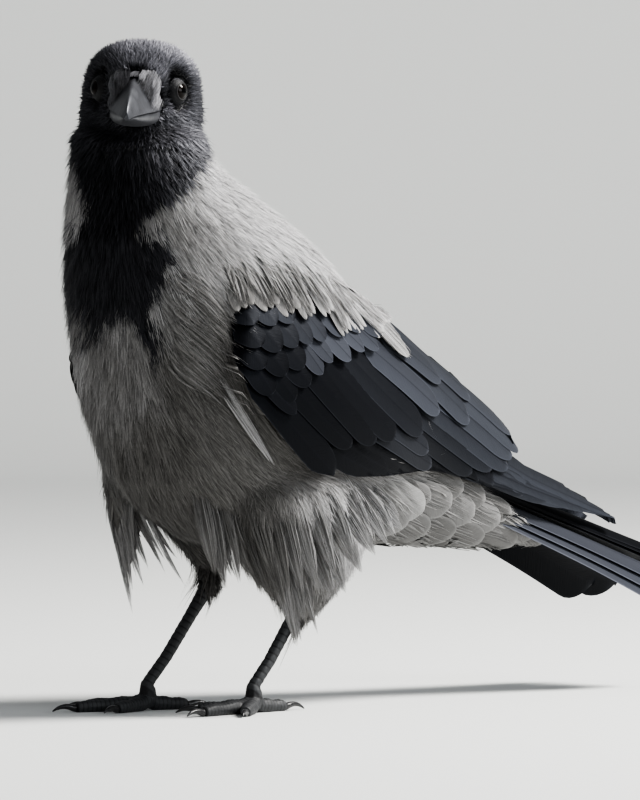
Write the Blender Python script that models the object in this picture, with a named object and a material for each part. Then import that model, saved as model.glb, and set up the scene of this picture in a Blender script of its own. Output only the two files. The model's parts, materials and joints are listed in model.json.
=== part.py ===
"""A hooded crow, Corvus cornix, life size: a still model that stands on both feet and looks to its left.

Lengths are in millimetres until a mesh is made. The bird faces -Y, its left side is +X and the floor is Z = 0.
The body is a loft along a curved line from nape to tail coverts, parted into neck and trunk by a thin cut. The
head is a loft of its own, turned on the neck, with the bill and the eyes let into it. Wings and tail are thin
arched blades laid on the body, and legs, toes and claws are tubes that taper.
"""

from math import cos, pi, radians, sin

import bmesh
import bpy
import numpy as np
from mathutils import Matrix, Vector

MM = 0.001
GAP = 0.3  # between touching pieces
ROOM = 0.45  # how far a piece is grown before its shape is taken out of another
THIN_EDGE = 0.5  # least thickness of a wing
WELD = 0.00001  # metres, for the caps of a tube

BODY_SIDES = 24
HEAD_SIDES = 18
EYE_SIDES = 12
THIGH_SIDES = 12
SHARP = 50  # degrees past which an edge isn't shaded smooth
STEPS = 2  # rows for each step from one station to the next

# Body sections, nape to tail coverts: place of the centre (y, z), half width, reach towards the back, reach
# towards the breast and belly, and tilt of the section in degrees, where 0 lies level.
BODY = {
    "nape": (-38, 288, 14, 14, 14, 0),
    "throat": (-38, 276, 31, 30, 30, 0),
    "neck": (-35, 260, 36, 37, 35, 4),
    "neck_base": (-28, 244, 42, 45, 41, 12),
    "shoulder": (-15, 225, 51, 49, 55, 22),
    "breast": (2, 203, 58, 54, 72, 34),
    "middle": (24, 179, 61, 58, 93, 46),
    "belly": (50, 155, 59, 56, 89, 56),
    "loin": (82, 135, 51, 43, 64, 64),
    "rump": (115, 120, 40, 31, 45, 70),
    "vent": (150, 107, 31, 16, 31, 73),
    "tail_coverts": (190, 92, 23, 6, 20, 73),
    "covert_tips": (230, 77, 11, 2, 5, 73),
}
BODY_POWER = 2.35  # of the superellipse: 2 is an ellipse, more is squarer
BACK_TAPER = 0.18  # how much narrower the back is than the breast
NECK_ENDS_AT = "shoulder"

# Place of the head, and its turn to the bird's left, nod down and roll in degrees.
HEAD_CENTRE = Vector((1.5, -38.5, 294))
HEAD_TURN = 41.0
HEAD_NOD = 3.0
HEAD_ROLL = 2.5
HEAD_POWER = 2.45
JOWL = 0.16  # how much wider the head grows towards the throat

# Head sections from the back of the head to the bristles: place along the head, half width, crown, chin.
HEAD = (
    (-34, 5, 5, 6),
    (-32, 14, 12, 15),
    (-25, 22.5, 20, 23),
    (-14, 27.5, 25, 28.5),
    (-4, 28.5, 26.5, 29.5),
    (5, 26.5, 26.5, 29),
    (12, 23, 25.5, 27),
    (19, 19.5, 22.5, 23),
    (26, 16, 18.5, 18),
    (32, 13.5, 15, 13.5),
    (37, 11, 12, 10.5),
    (39, 8.5, 9, 8),
)

# Bill sections, base to tip: place along the head, half width, ridge, mouth line, lower edge.
BILL = (
    (22, 9.5, 10.5, -2.0, -9.5),
    (34, 9.0, 10.3, -2.3, -9.3),
    (44, 8.0, 9.4, -2.6, -8.6),
    (54, 6.6, 7.4, -3.0, -8.0),
    (64, 4.6, 4.0, -3.6, -7.2),
    (71, 2.8, 0.2, -4.4, -6.2),
    (75, 1.3, -3.4, -6.0, -6.4),
)
LOWER_BILL_SHORTER = 4.0
LOWER_BILL_WIDTH = 0.93  # of the upper half's
RIDGE_POWER = 1.5  # of the upper half's section: 1 is a gable, 2 a parabola
BILL_FACETS = 8

EYE_RADIUS = 6.4
EYE_PLACE = Vector((16.2, -13.5, 3.5))

# Wing outline on the bird's left: upper edge, lower edge, bulge of the blade and its thickness.
WING = (
    ((50, -27, 190), (55, -30, 172), 1.5, 3),
    ((54, -15, 201), (60, -28, 148), 5, 7),
    ((54, 12, 206), (61, -8, 124), 11, 8),
    ((46, 52, 203), (60, 30, 114), 16, 8),
    ((30, 98, 188), (55, 72, 112), 19, 6),
    ((15, 140, 169), (45, 117, 113), 17, 5),
    ((9, 178, 149), (36, 160, 105), 12, 4),
    ((8, 198, 135), (30, 186, 100), 8, 2.5),
    ((9, 211, 121), (24, 202, 99), 4, 1.2),
)
PRIMARIES = (
    ((12, 152, 146), (37, 146, 112), 9, 3),
    ((9, 178, 136), (33, 172, 103), 8, 3),
    ((7, 208, 122), (27, 200, 96), 6, 3),
    ((7, 238, 108), (20, 232, 90), 4, 2.4),
    ((8, 264, 94), (14, 262, 84), 2, 1.8),
    ((9, 281, 84), (11, 282, 81), 0.5, 1.0),
)
WING_ROWS = 6

# Tail blade: place of the ridge (y, z), half width, how far the sides hang below the ridge, thickness.
TAIL = (
    (132, 119, 12, 5, 4),
    (160, 111, 19, 10, 4),
    (200, 98, 25, 16, 3.6),
    (245, 83, 30, 21, 3.2),
    (285, 69.5, 33, 25, 2.6),
    (300, 64.5, 30, 22, 2.2),
    (312, 60.5, 20, 11, 1.6),
    (317, 59, 9, 3, 1.0),
)
TAIL_ROWS = 8
TAIL_EDGE = 0.6
TAIL_THINNING = 0.6  # share of the thickness that the sides lose

# Feathered thighs from the belly down: centre (x, y, z) and half widths across and along.
THIGH_LEFT = (
    ((30, 30, 121), 22, 38),
    ((33, 34, 101), 25, 44),
    ((33, 36, 83), 24, 42),
    ((31, 38, 68), 20, 33),
    ((29, 41, 57), 13, 20),
    ((26, 43.5, 46), 6, 9),
    ((25, 44, 36), 1.8, 2.4),
)
THIGH_RIGHT = (
    ((-30, 28, 121), 20, 30),
    ((-32, 28, 103), 22, 30),
    ((-31, 29, 86), 16, 19),
    ((-28, 31, 73), 8.5, 9),
    ((-26, 33, 64), 5.6, 6),
    ((-25, 33.8, 59), 3, 3.4),
)
PLUME = (
    ((-36, -8, 128), 12, 20),
    ((-38, -8, 101), 9, 17),
    ((-39, -8, 81), 5.5, 11),
    ((-39, -6, 63), 2.8, 6),
    ((-39, -4, 46), 0.8, 1.4),
)

# Each leg: hock, foot, and the way the middle toe points, in degrees out from straight ahead.
HOCKS = {"left": Vector((23, 50.5, 57)), "right": Vector((-25, 33, 60))}
FEET = {"left": Vector((20, 18, 0)), "right": Vector((-30, -4, 0))}
TOES_OUT = {"left": 6, "right": 20}
TARSUS_RADII = (3.9, 2.9, 2.7, 2.8, 3.7)
BALL_RADIUS = 4.6  # of the foot's root, where the toes meet
ANKLE_HEIGHT = 10.0  # where the foot ends and the shank starts
ANKLE_BEND = 2.5  # length of the upright start of the shank

# Toe: angle from the middle toe towards the outside, length, claw length.
TOES = {
    "inner": (-34, 27, 12),
    "middle": (0, 37, 13),
    "outer": (32, 29, 11),
    "hind": (176, 21, 15),
}
# Along each toe: share of its length, height of its middle and radius.
TOE_LINE = (
    (0.0, 5.2, 3.9),
    (0.22, 3.1, 3.4),
    (0.42, 3.1, 3.5),
    (0.62, 2.5, 3.0),
    (0.82, 2.6, 3.1),
    (1.0, 2.1, 2.6),
)
CLAW_RADIUS = 2.3
CLAW_TIP_RADIUS = 0.3
CLAW_TAPER = 0.8
CLAW_CURVE = 62  # degrees that a claw bends through
CLAW_LIFT = 24  # degrees that its root rises
CLAW_ROOT = 1.2  # length in line with the toe
CLAW_STEPS = 5
BLOCK = 400  # side of the block whose top is the floor

MATERIALS = {
    "hood_feather": ((0.012, 0.012, 0.014), 0.55, 0.0),
    "ash_feather": ((0.30, 0.28, 0.27), 0.75, 0.0),
    "wing_feather": ((0.014, 0.015, 0.022), 0.40, 0.0),
    "bill_horn": ((0.030, 0.031, 0.035), 0.35, 0.0),
    "leg_scale": ((0.018, 0.018, 0.020), 0.50, 0.0),
    "claw_horn": ((0.012, 0.012, 0.013), 0.25, 0.0),
    "eye": ((0.010, 0.007, 0.005), 0.05, 0.0),
}


def start_clean():
    """Remove every object and give back the collections for parts and cutters."""
    for thing in list(bpy.data.objects):
        bpy.data.objects.remove(thing)
    made = []
    for name in ("hooded_crow", "cutters"):
        collection = bpy.data.collections.new(name)
        bpy.context.scene.collection.children.link(collection)
        made.append(collection)
    return made


def make_material(name):
    colour, roughness, metallic = MATERIALS[name]
    material = bpy.data.materials.new(name)
    material.use_nodes = True
    shader = material.node_tree.nodes["Principled BSDF"]
    shader.inputs["Base Color"].default_value = (*colour, 1)
    shader.inputs["Roughness"].default_value = roughness
    shader.inputs["Metallic"].default_value = metallic
    return material


def finish_object(name, mesh, material, collection):
    mesh.materials.append(bpy.data.materials[material])
    mesh.shade_smooth()
    mesh.set_sharp_from_angle(angle=radians(SHARP))
    thing = bpy.data.objects.new(name, mesh)
    collection.objects.link(thing)
    return thing


def between(stations, steps=STEPS):
    """Rows of numbers between the stations, on a smooth Catmull-Rom curve through them."""
    rows = [np.array(row, float) for row in stations]
    rows = [2 * rows[0] - rows[1], *rows, 2 * rows[-1] - rows[-2]]
    smooth = []
    for a, b, c, d in zip(rows, rows[1:], rows[2:], rows[3:]):
        for k in range(steps):
            t = k / steps
            bend = (2 * a - 5 * b + 4 * c - d) * t**2 + (3 * b - a - 3 * c + d) * t**3
            smooth.append(b + ((c - a) * t + bend) / 2)
    return [*smooth, rows[-2]]


def loft(name, rings, material, collection):
    """A closed skin over rings of equally many points, with a flat cap at each end.

    It is triangles from the start, so that a grown copy used as a cutter folds along the same lines.
    """
    shape = bmesh.new()
    loops = [[shape.verts.new(Vector(point) * MM) for point in ring] for ring in rings]
    for first, second in zip(loops, loops[1:]):
        for i in range(len(first)):
            j = (i + 1) % len(first)
            shape.faces.new((first[i], first[j], second[j], second[i]))
    shape.faces.new(loops[0])
    shape.faces.new(loops[-1])
    bmesh.ops.triangulate(shape, faces=shape.faces)
    bmesh.ops.recalc_face_normals(shape, faces=shape.faces)
    mesh = bpy.data.meshes.new(name)
    shape.to_mesh(mesh)
    shape.free()
    return finish_object(name, mesh, material, collection)


def oval(count, half_width, above, below, power=2.0, taper=0.0):
    """Points of a superellipse whose upper and lower halves may differ, narrowed upwards by the taper."""
    points = []
    for i in range(count):
        angle = 2 * pi * i / count
        across = abs(cos(angle)) ** (2 / power) * (1 if cos(angle) >= 0 else -1)
        across *= 1 - taper * max(0, sin(angle))
        up = abs(sin(angle)) ** (2 / power)
        up *= above if sin(angle) >= 0 else -below
        points.append((half_width * across, up))
    return points


def body_ring(row):
    y, z, half_width, back, front, tilt = row
    away = Vector((0, cos(radians(tilt)), sin(radians(tilt))))
    centre = Vector((0, y, z))
    outline = oval(BODY_SIDES, half_width, back, front, BODY_POWER, BACK_TAPER)
    return [centre + Vector((x, 0, 0)) + away * up for x, up in outline]


def make_body(parts):
    """Neck and trunk, parted by a cut square to the body's line."""
    rows = between(BODY.values())
    cut = list(BODY).index(NECK_ENDS_AT) * STEPS
    neck = loft("neck", [body_ring(row) for row in rows[: cut + 1]], "hood_feather", parts)
    edge = rows[cut].copy()
    following = rows[cut + 1]
    edge += (following - edge) * GAP / np.linalg.norm(following[:2] - edge[:2])
    trunk = loft("trunk", [body_ring(row) for row in (edge, *rows[cut + 1 :])], "ash_feather", parts)
    return neck, trunk


def head_matrix():
    turn = Matrix.Rotation(radians(HEAD_TURN), 4, "Z")
    nod = Matrix.Rotation(radians(HEAD_NOD), 4, "X")
    roll = Matrix.Rotation(radians(HEAD_ROLL), 4, "Y")
    return Matrix.Translation(HEAD_CENTRE) @ turn @ nod @ roll


def make_head(parts):
    place = head_matrix()
    rings = []
    for along, half_width, crown, chin in between(HEAD):
        outline = oval(HEAD_SIDES, half_width, crown, chin, HEAD_POWER)
        outline = [(x * (1 + JOWL * max(0, -z / chin)), z) for x, z in outline]
        rings.append([place @ Vector((x, -along, z)) for x, z in outline])
    return loft("head", rings, "hood_feather", parts)


def make_bill(parts):
    """Upper and lower halves with a thin gap between, and the upper one's tip bent down over the lower."""
    place = head_matrix()
    across = [1 - 2 * i / BILL_FACETS for i in range(BILL_FACETS + 1)]
    base, tip = BILL[0][0], BILL[-1][0]
    upper, lower = [], []
    for along, half_width, ridge, mouth, bottom in between(BILL):
        lip = mouth + GAP / 2
        top = [(half_width * x, lip + (ridge - mouth) * (1 - abs(x) ** RIDGE_POWER)) for x in across]
        upper.append([place @ Vector((x, -along, z)) for x, z in [*top, (0, lip)]])
        lip = mouth - GAP / 2
        half_width *= LOWER_BILL_WIDTH
        under = [(half_width * x, lip - (mouth - bottom) * (1 - x * x) ** 0.5) for x in across]
        drawn_back = along - LOWER_BILL_SHORTER * (along - base) / (tip - base)
        lower.append([place @ Vector((x, -drawn_back, z)) for x, z in [*under, (0, lip)]])
    lower = lower[: -STEPS // 2]
    return loft("bill_upper", upper, "bill_horn", parts), loft("bill_lower", lower, "bill_horn", parts)


def make_eye(side, parts):
    sign = 1 if side == "left" else -1
    centre = head_matrix() @ Vector((sign * EYE_PLACE.x, EYE_PLACE.y, EYE_PLACE.z))
    shape = bmesh.new()
    bmesh.ops.create_uvsphere(
        shape,
        u_segments=EYE_SIDES,
        v_segments=EYE_SIDES * 2 // 3,
        radius=EYE_RADIUS * MM,
        matrix=Matrix.Translation(centre * MM),
    )
    mesh = bpy.data.meshes.new(f"eye_{side}")
    shape.to_mesh(mesh)
    shape.free()
    return finish_object(f"eye_{side}", mesh, "eye", parts)


def blade_ring(top, bottom, bulge, thickness, outward):
    """A thin arched section: down the outer face from edge to edge, and back up the inner."""
    middle = (top + bottom) / 2 + outward * bulge
    face, back = [], []
    for i in range(WING_ROWS + 1):
        t = i / WING_ROWS
        point = top * (1 - t) ** 2 + middle * 2 * t * (1 - t) + bottom * t**2
        depth = max(THIN_EDGE, thickness * (1 - abs(2 * t - 1) ** 3))
        face.append(point)
        back.append(point - outward * depth)
    return face + back[::-1]


def make_blade(name, stations, side, parts):
    """A wing or its long quills, from outline stations on the left, or mirrored for the right."""
    sign = 1 if side == "left" else -1
    flat = [(*top, *bottom, bulge, thickness) for top, bottom, bulge, thickness in stations]
    rows = between(flat)
    rings = []
    for i, row in enumerate(rows):
        top, bottom = Vector(row[:3]), Vector(row[3:6])
        before, after = rows[max(i - 1, 0)], rows[min(i + 1, len(rows) - 1)]
        along = Vector(after[:3] + after[3:6] - before[:3] - before[3:6])
        outward = (bottom - top).cross(along).normalized()
        outward *= 1 if outward.x > 0 else -1
        ring = blade_ring(top, bottom, row[6], row[7], outward)
        rings.append([Vector((sign * point.x, point.y, point.z)) for point in ring])
    return loft(name, rings, "wing_feather", parts)


def make_tail(parts):
    """The closed tail: a blade arched like a roof, its side quills tucked under the middle ones."""
    rings = []
    for y, z, half_width, hang, thickness in between(TAIL):
        face, back = [], []
        for i in range(TAIL_ROWS + 1):
            side = 2 * i / TAIL_ROWS - 1
            point = Vector((half_width * side, y, z - hang * side**2))
            depth = max(TAIL_EDGE, thickness * (1 - TAIL_THINNING * abs(side)))
            face.append(point)
            back.append(point - Vector((0, 0, depth)))
        rings.append(face + back[::-1])
    return loft("tail", rings, "wing_feather", parts)


def make_feathered(name, stations, material, parts):
    """A level-sectioned form that hangs from the belly, such as a thigh or a plume."""
    rings = []
    for x, y, z, across, along in between([(*centre, across, along) for centre, across, along in stations]):
        rings.append([Vector((x + px, y + py, z)) for px, py in oval(THIGH_SIDES, across, along, along)])
    return loft(name, rings, material, parts)


def make_tube(name, points, radii, material, collection, roundness=2):
    """A tapering tube on a polyline, with closed ends."""
    curve = bpy.data.curves.new(name, "CURVE")
    curve.dimensions = "3D"
    curve.bevel_depth = MM
    curve.bevel_resolution = roundness
    curve.use_fill_caps = True
    spline = curve.splines.new("POLY")
    spline.points.add(len(points) - 1)
    for knot, point, radius in zip(spline.points, points, radii):
        knot.co = (*(Vector(point) * MM), 1)
        knot.radius = radius
    drawn = bpy.data.objects.new(name + "_path", curve)
    bpy.context.scene.collection.objects.link(drawn)
    bpy.context.view_layer.update()
    mesh = bpy.data.meshes.new_from_object(drawn.evaluated_get(bpy.context.evaluated_depsgraph_get()))
    bpy.data.objects.remove(drawn)
    shape = bmesh.new()
    shape.from_mesh(mesh)
    bmesh.ops.remove_doubles(shape, verts=shape.verts, dist=WELD)
    bmesh.ops.recalc_face_normals(shape, faces=shape.faces)
    shape.to_mesh(mesh)
    shape.free()
    mesh.materials.clear()
    mesh.name = name
    return finish_object(name, mesh, material, collection)


def combine(target, other, operation):
    """Union or difference with another object, kept live on the target."""
    step = target.modifiers.new(f"{operation.lower()}_{other.name}", "BOOLEAN")
    step.operation = operation
    step.solver = "EXACT"
    step.object = other


def as_cutter(thing, cutters):
    for collection in list(thing.users_collection):
        collection.objects.unlink(thing)
    cutters.objects.link(thing)
    thing.hide_render = True
    thing.display_type = "WIRE"
    return thing


def cut_by(target, other, cutters):
    """Take the other's shape, grown by the gap, out of the target."""
    grown = other.copy()
    grown.name = f"{other.name}_room_in_{target.name}"
    as_cutter(grown, cutters)
    swell = grown.modifiers.new("swell", "DISPLACE")
    swell.strength = ROOM * MM
    swell.mid_level = 0
    combine(target, grown, "DIFFERENCE")


def toe_points(root, heading, length):
    """Down from the ankle and along the floor, arched a little at each joint."""
    along = Vector((sin(heading), -cos(heading), 0))
    return [root + along * length * reach + Vector((0, 0, height)) for reach, height, radius in TOE_LINE]


def claw_points(start, heading, length):
    """An arc that leaves the toe level with it and bends down to a point."""
    along = Vector((sin(heading), -cos(heading), 0))
    bend = radians(CLAW_CURVE)
    reach = length / bend
    lift = radians(CLAW_LIFT)
    points = []
    for i in range(CLAW_STEPS + 1):
        turned = lift - bend * i / CLAW_STEPS
        ahead = reach * (sin(lift) - sin(turned))
        rise = reach * (cos(turned) - cos(lift))
        points.append(start + along * ahead + Vector((0, 0, rise)))
    return points


def make_foot(side, parts, cutters):
    """Four toes joined at the ankle, flat underneath, and a claw on each."""
    root = FEET[side]
    sign = 1 if side == "left" else -1
    ankle = [root + Vector((0, 0, height)) for height in (BALL_RADIUS, ANKLE_HEIGHT)]
    foot = make_tube(f"foot_{side}", ankle, (BALL_RADIUS, TARSUS_RADII[0]), "leg_scale", parts)
    for toe, (angle, length, claw_length) in TOES.items():
        heading = radians(sign * (TOES_OUT[side] + angle))
        points = toe_points(root, heading, length)
        radii = [radius for reach, height, radius in TOE_LINE]
        tube = make_tube(f"toe_{toe}_{side}", points, radii, "leg_scale", cutters)
        combine(foot, as_cutter(tube, cutters), "UNION")
        forward = (points[-1] - points[-2]).normalized()
        start = points[-1] + forward * GAP
        arc = [start, *claw_points(start + forward * CLAW_ROOT, heading, claw_length - CLAW_ROOT)]
        last = len(arc) - 1
        left = [(1 - i / last) ** CLAW_TAPER for i in range(last + 1)]
        radii = [CLAW_TIP_RADIUS + (CLAW_RADIUS - CLAW_TIP_RADIUS) * share for share in left]
        make_tube(f"claw_{toe}_{side}", arc, radii, "claw_horn", parts, 1)
    return foot


def make_floor_cutter(cutters):
    """A block whose top is the floor, to give toes their flat soles."""
    shape = bmesh.new()
    bmesh.ops.create_cube(shape, size=BLOCK * MM, matrix=Matrix.Translation((0, 0, -BLOCK / 2 * MM)))
    mesh = bpy.data.meshes.new("below_floor")
    shape.to_mesh(mesh)
    shape.free()
    block = bpy.data.objects.new("below_floor", mesh)
    cutters.objects.link(block)
    return as_cutter(block, cutters)


def make_tarsus(side, parts):
    """The bare shank, from the ankle up to the hock inside the thigh's feathers."""
    foot = FEET[side] + Vector((0, 0, ANKLE_HEIGHT + GAP))
    hock = HOCKS[side]
    line = hock - foot
    points = [foot, foot + Vector((0, 0, ANKLE_BEND))]
    points += [foot + line * reach for reach in (0.3, 0.7, 1)]
    return make_tube(f"tarsus_{side}", points, TARSUS_RADII, "leg_scale", parts)


def centre_on_origin(parts, cutters):
    """Move everything so that the origin is the middle of the box that the bird stands in, at its foot."""
    bpy.context.view_layer.update()
    graph = bpy.context.evaluated_depsgraph_get()
    points = []
    for thing in parts.objects:
        mesh = thing.evaluated_get(graph).to_mesh()
        points += [tuple(vertex.co) for vertex in mesh.vertices]
        thing.evaluated_get(graph).to_mesh_clear()
    low, high = np.min(points, axis=0), np.max(points, axis=0)
    middle = (low + high) / 2
    for thing in [*parts.objects, *cutters.objects]:
        thing.location = (-middle[0], -middle[1], -low[2])


def main():
    parts, cutters = start_clean()
    for name in MATERIALS:
        make_material(name)
    neck, trunk = make_body(parts)
    head = make_head(parts)
    bill_upper, bill_lower = make_bill(parts)
    eyes = [make_eye(side, parts) for side in ("left", "right")]
    floor = make_floor_cutter(cutters)
    tail = make_tail(parts)
    plume = make_feathered("plume", PLUME, "ash_feather", cutters)
    combine(trunk, as_cutter(plume, cutters), "UNION")
    for side, stations in (("left", THIGH_LEFT), ("right", THIGH_RIGHT)):
        wing = make_blade(f"wing_{side}", WING, side, parts)
        quills = make_blade(f"primaries_{side}", PRIMARIES, side, parts)
        cut_by(quills, wing, cutters)
        cut_by(trunk, wing, cutters)
        thigh = make_feathered(f"thigh_{side}", stations, "ash_feather", parts)
        tarsus = make_tarsus(side, parts)
        cut_by(thigh, tarsus, cutters)
        foot = make_foot(side, parts, cutters)
        combine(foot, floor, "DIFFERENCE")
        cut_by(thigh, trunk, cutters)
    cut_by(trunk, tail, cutters)
    for piece in (bill_upper, bill_lower, *eyes):
        cut_by(head, piece, cutters)
    cut_by(neck, head, cutters)
    centre_on_origin(parts, cutters)


main()
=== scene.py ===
# %% [markdown]
# # The looks of a hooded crow, life size
# A standing crow is a smooth body under many thousands of feathers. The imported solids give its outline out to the
# tips of the feathers. This script keeps that frame, lays one skin a few millimetres inside it, and grows the
# coat, the flight feathers, the bill, the eyes and the scaly feet on it.

import json
from math import cos, pi, radians, sin

import bmesh
import bpy
import numpy as np
from mathutils import Matrix, Vector
from mathutils.bvhtree import BVHTree
from mathutils.kdtree import KDTree

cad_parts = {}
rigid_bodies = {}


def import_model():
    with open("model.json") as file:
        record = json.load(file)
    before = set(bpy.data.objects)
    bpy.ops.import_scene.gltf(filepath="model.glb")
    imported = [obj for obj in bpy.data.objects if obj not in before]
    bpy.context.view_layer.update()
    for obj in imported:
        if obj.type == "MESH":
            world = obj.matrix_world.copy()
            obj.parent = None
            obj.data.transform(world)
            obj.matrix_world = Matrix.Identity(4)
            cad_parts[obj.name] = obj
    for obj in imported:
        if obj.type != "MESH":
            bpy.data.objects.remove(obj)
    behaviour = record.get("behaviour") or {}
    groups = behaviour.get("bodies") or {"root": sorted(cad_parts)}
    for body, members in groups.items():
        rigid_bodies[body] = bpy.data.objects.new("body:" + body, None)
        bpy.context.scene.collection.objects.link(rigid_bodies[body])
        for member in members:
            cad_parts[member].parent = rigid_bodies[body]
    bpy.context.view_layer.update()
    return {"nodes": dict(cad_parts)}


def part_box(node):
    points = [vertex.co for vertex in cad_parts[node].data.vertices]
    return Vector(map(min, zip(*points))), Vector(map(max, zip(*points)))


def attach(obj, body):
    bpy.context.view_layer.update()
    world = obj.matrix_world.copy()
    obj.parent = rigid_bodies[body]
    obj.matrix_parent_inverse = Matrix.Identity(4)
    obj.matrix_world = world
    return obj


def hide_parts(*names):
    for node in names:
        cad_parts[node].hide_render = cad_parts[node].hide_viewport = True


for thing in list(bpy.data.objects):
    bpy.data.objects.remove(thing)
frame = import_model()
scene = bpy.context.scene
MM = 0.001
SIDES = ("left", "right")

# %% [markdown]
# ## One place for every measure
# Sizes below are in millimetres in the bird's own frame: it faces -Y, its left side is +X and the floor is Z = 0.
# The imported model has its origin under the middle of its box, so one shift, found from the left eye, joins the two.

# %% The bird's frame
HEAD_CENTRE = Vector((1.5, -38.5, 294))
HEAD_TURN, HEAD_NOD, HEAD_ROLL = 41.0, 3.0, 2.5
EYE_PLACE = Vector((16.2, -13.5, 3.5))
EYE_RADIUS = 6.4
# Seen from the bird's front left: the way to the right, and the way to the viewer.
DIAGONAL = 0.7071
SEEN_RIGHT = np.array((DIAGONAL, DIAGONAL, 0))
SEEN_NEAR = np.array((DIAGONAL, -DIAGONAL, 0))
SPINE = np.array(
    [(-38, 300), (-38, 276), (-35, 260), (-28, 244), (-15, 225), (2, 203), (24, 179), (50, 155)]
    + [(82, 135), (115, 120), (150, 107), (190, 92), (230, 77), (285, 62), (320, 54)],
    float,
)
HEAD_AXES = (
    Matrix.Translation(HEAD_CENTRE)
    @ Matrix.Rotation(radians(HEAD_TURN), 4, "Z")
    @ Matrix.Rotation(radians(HEAD_NOD), 4, "X")
    @ Matrix.Rotation(radians(HEAD_ROLL), 4, "Y")
)
low, high = (Vector(corner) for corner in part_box("eye_left"))
SHIFT = np.array((low + high) / (2 * MM) - HEAD_AXES @ EYE_PLACE)


def to_row(points):
    """From the bird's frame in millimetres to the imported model's, in metres."""
    return (np.asarray(points, float) + SHIFT) * MM


def to_bird(points):
    """The way back from to_row."""
    return np.asarray(points, float) / MM - SHIFT


def in_head(points):
    """Bird-frame points as seen from the head: left, forward, up."""
    turned = (np.asarray(points) - np.array(HEAD_CENTRE)) @ np.array(HEAD_AXES.to_3x3())
    return turned * (1, -1, 1)


def from_head(points):
    """The way back from in_head."""
    return np.asarray(points) * (1, -1, 1) @ np.array(HEAD_AXES.to_3x3()).T + np.array(HEAD_CENTRE)


print("shift", SHIFT.round(2))

# %% Smooth rows between stations


def between(stations, steps):
    """Rows on a Catmull-Rom curve through the stations."""
    rows = [np.array(row, float) for row in stations]
    rows = [2 * rows[0] - rows[1], *rows, 2 * rows[-1] - rows[-2]]
    smooth = []
    for a, b, c, d in zip(rows, rows[1:], rows[2:], rows[3:]):
        for t in np.arange(steps) / steps:
            bend = (2 * a - 5 * b + 4 * c - d) * t**2 + (3 * b - a - 3 * c + d) * t**3
            smooth.append(b + ((c - a) * t + bend) / 2)
    return np.array([*smooth, rows[-2]])


def unit(vectors):
    """The same directions, each of length 1."""
    return vectors / np.maximum(np.linalg.norm(vectors, axis=-1, keepdims=True), 1e-9)


def ease(value, start, end):
    """0 before start, 1 after end, and smooth between them."""
    t = np.clip((np.asarray(value, float) - start) / (end - start), 0, 1)
    return t * t * (3 - 2 * t)


# %% [markdown]
# ## The view
# A long lens from the bird's front left, level with its belly, is how such a bird is usually seen: it flattens
# depth and keeps the proportions true. The floor runs up into a pale sweep, and one broad light stands behind
# the bird's left shoulder, with soft light from all round.

# %% Camera and lights
VIEW_AZIMUTH, VIEW_ELEVATION, VIEW_DISTANCE = 45.0, 2.0, 5000.0
VIEW_TARGET = (41.4, 41.4, 149.1)
LENS = 472.5

around, above = radians(VIEW_AZIMUTH), radians(VIEW_ELEVATION)
TOWARDS_VIEW = Vector((sin(around) * cos(above), -cos(around) * cos(above), sin(above)))
target = Vector(to_row(VIEW_TARGET))
camera = bpy.data.objects.new("camera", bpy.data.cameras.new("camera"))
camera.data.lens = LENS
camera.data.clip_end = 50
camera.location = target + TOWARDS_VIEW * VIEW_DISTANCE * MM
camera.rotation_euler = (-TOWARDS_VIEW).to_track_quat("-Z", "Y").to_euler()
scene.collection.objects.link(camera)
scene.camera = camera

RIGHT = Vector((cos(around), sin(around), 0))
LIGHTS = {
    # place from the bird, size, power, colour
    "window": (RIGHT * 1.75 + TOWARDS_VIEW * -0.15 + Vector((0, 0, 1.9)), 0.9, 135, (1.0, 0.98, 0.95)),
    "side": (RIGHT * 1.7 + TOWARDS_VIEW * 1.2 + Vector((0, 0, 0.7)), 1.0, 16, (0.92, 0.96, 1.0)),
    "front": (RIGHT * -1.5 + TOWARDS_VIEW * 1.8 + Vector((0, 0, 0.9)), 1.6, 2.5, (1.0, 0.97, 0.92)),
}
for name, (place, size, power, colour) in LIGHTS.items():
    lamp = bpy.data.objects.new(name, bpy.data.lights.new(name, "AREA"))
    lamp.data.size = size
    lamp.data.energy = power
    lamp.data.color = colour
    lamp.location = target + place
    lamp.rotation_euler = (-place).to_track_quat("-Z", "Y").to_euler()
    scene.collection.objects.link(lamp)

world = bpy.data.worlds.new("soft light")
scene.world = world
world.use_nodes = True
sky = world.node_tree.nodes["Background"].inputs
sky["Color"].default_value = (0.86, 0.88, 0.90, 1)
sky["Strength"].default_value = 0.31
scene.view_settings.look = "AgX - High Contrast"
print("camera", [round(n, 3) for n in camera.location])

# %% [markdown]
# ## Writing node trees as sums
# A shader or a Geometry Nodes tree is easier to read as an expression. `Term` wraps one socket, and each operator
# on it adds a Math node. `Graph.add` makes every other node: its settings first, then its values and links.

# %% Helpers for node trees


class Term:
    """A socket to calculate with."""

    def __init__(self, graph, socket):
        self.graph, self.socket = graph, socket

    def math(self, operation, *others, clamp=False):
        values = dict(enumerate((self, *others)))
        return self.graph.get("ShaderNodeMath", {"operation": operation, "use_clamp": clamp}, values)

    def __add__(self, other):
        return self.math("ADD", other)

    def __mul__(self, other):
        return self.math("MULTIPLY", other)

    def __sub__(self, other):
        return self.math("SUBTRACT", other)

    def __pow__(self, other):
        return self.math("POWER", other)

    def __rsub__(self, other):
        return self * -1 + other

    def ease(self, start, end):
        values = {"Value": self, "From Min": start, "From Max": end}
        return self.graph.get("ShaderNodeMapRange", {"interpolation_type": "SMOOTHSTEP"}, values)


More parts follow.
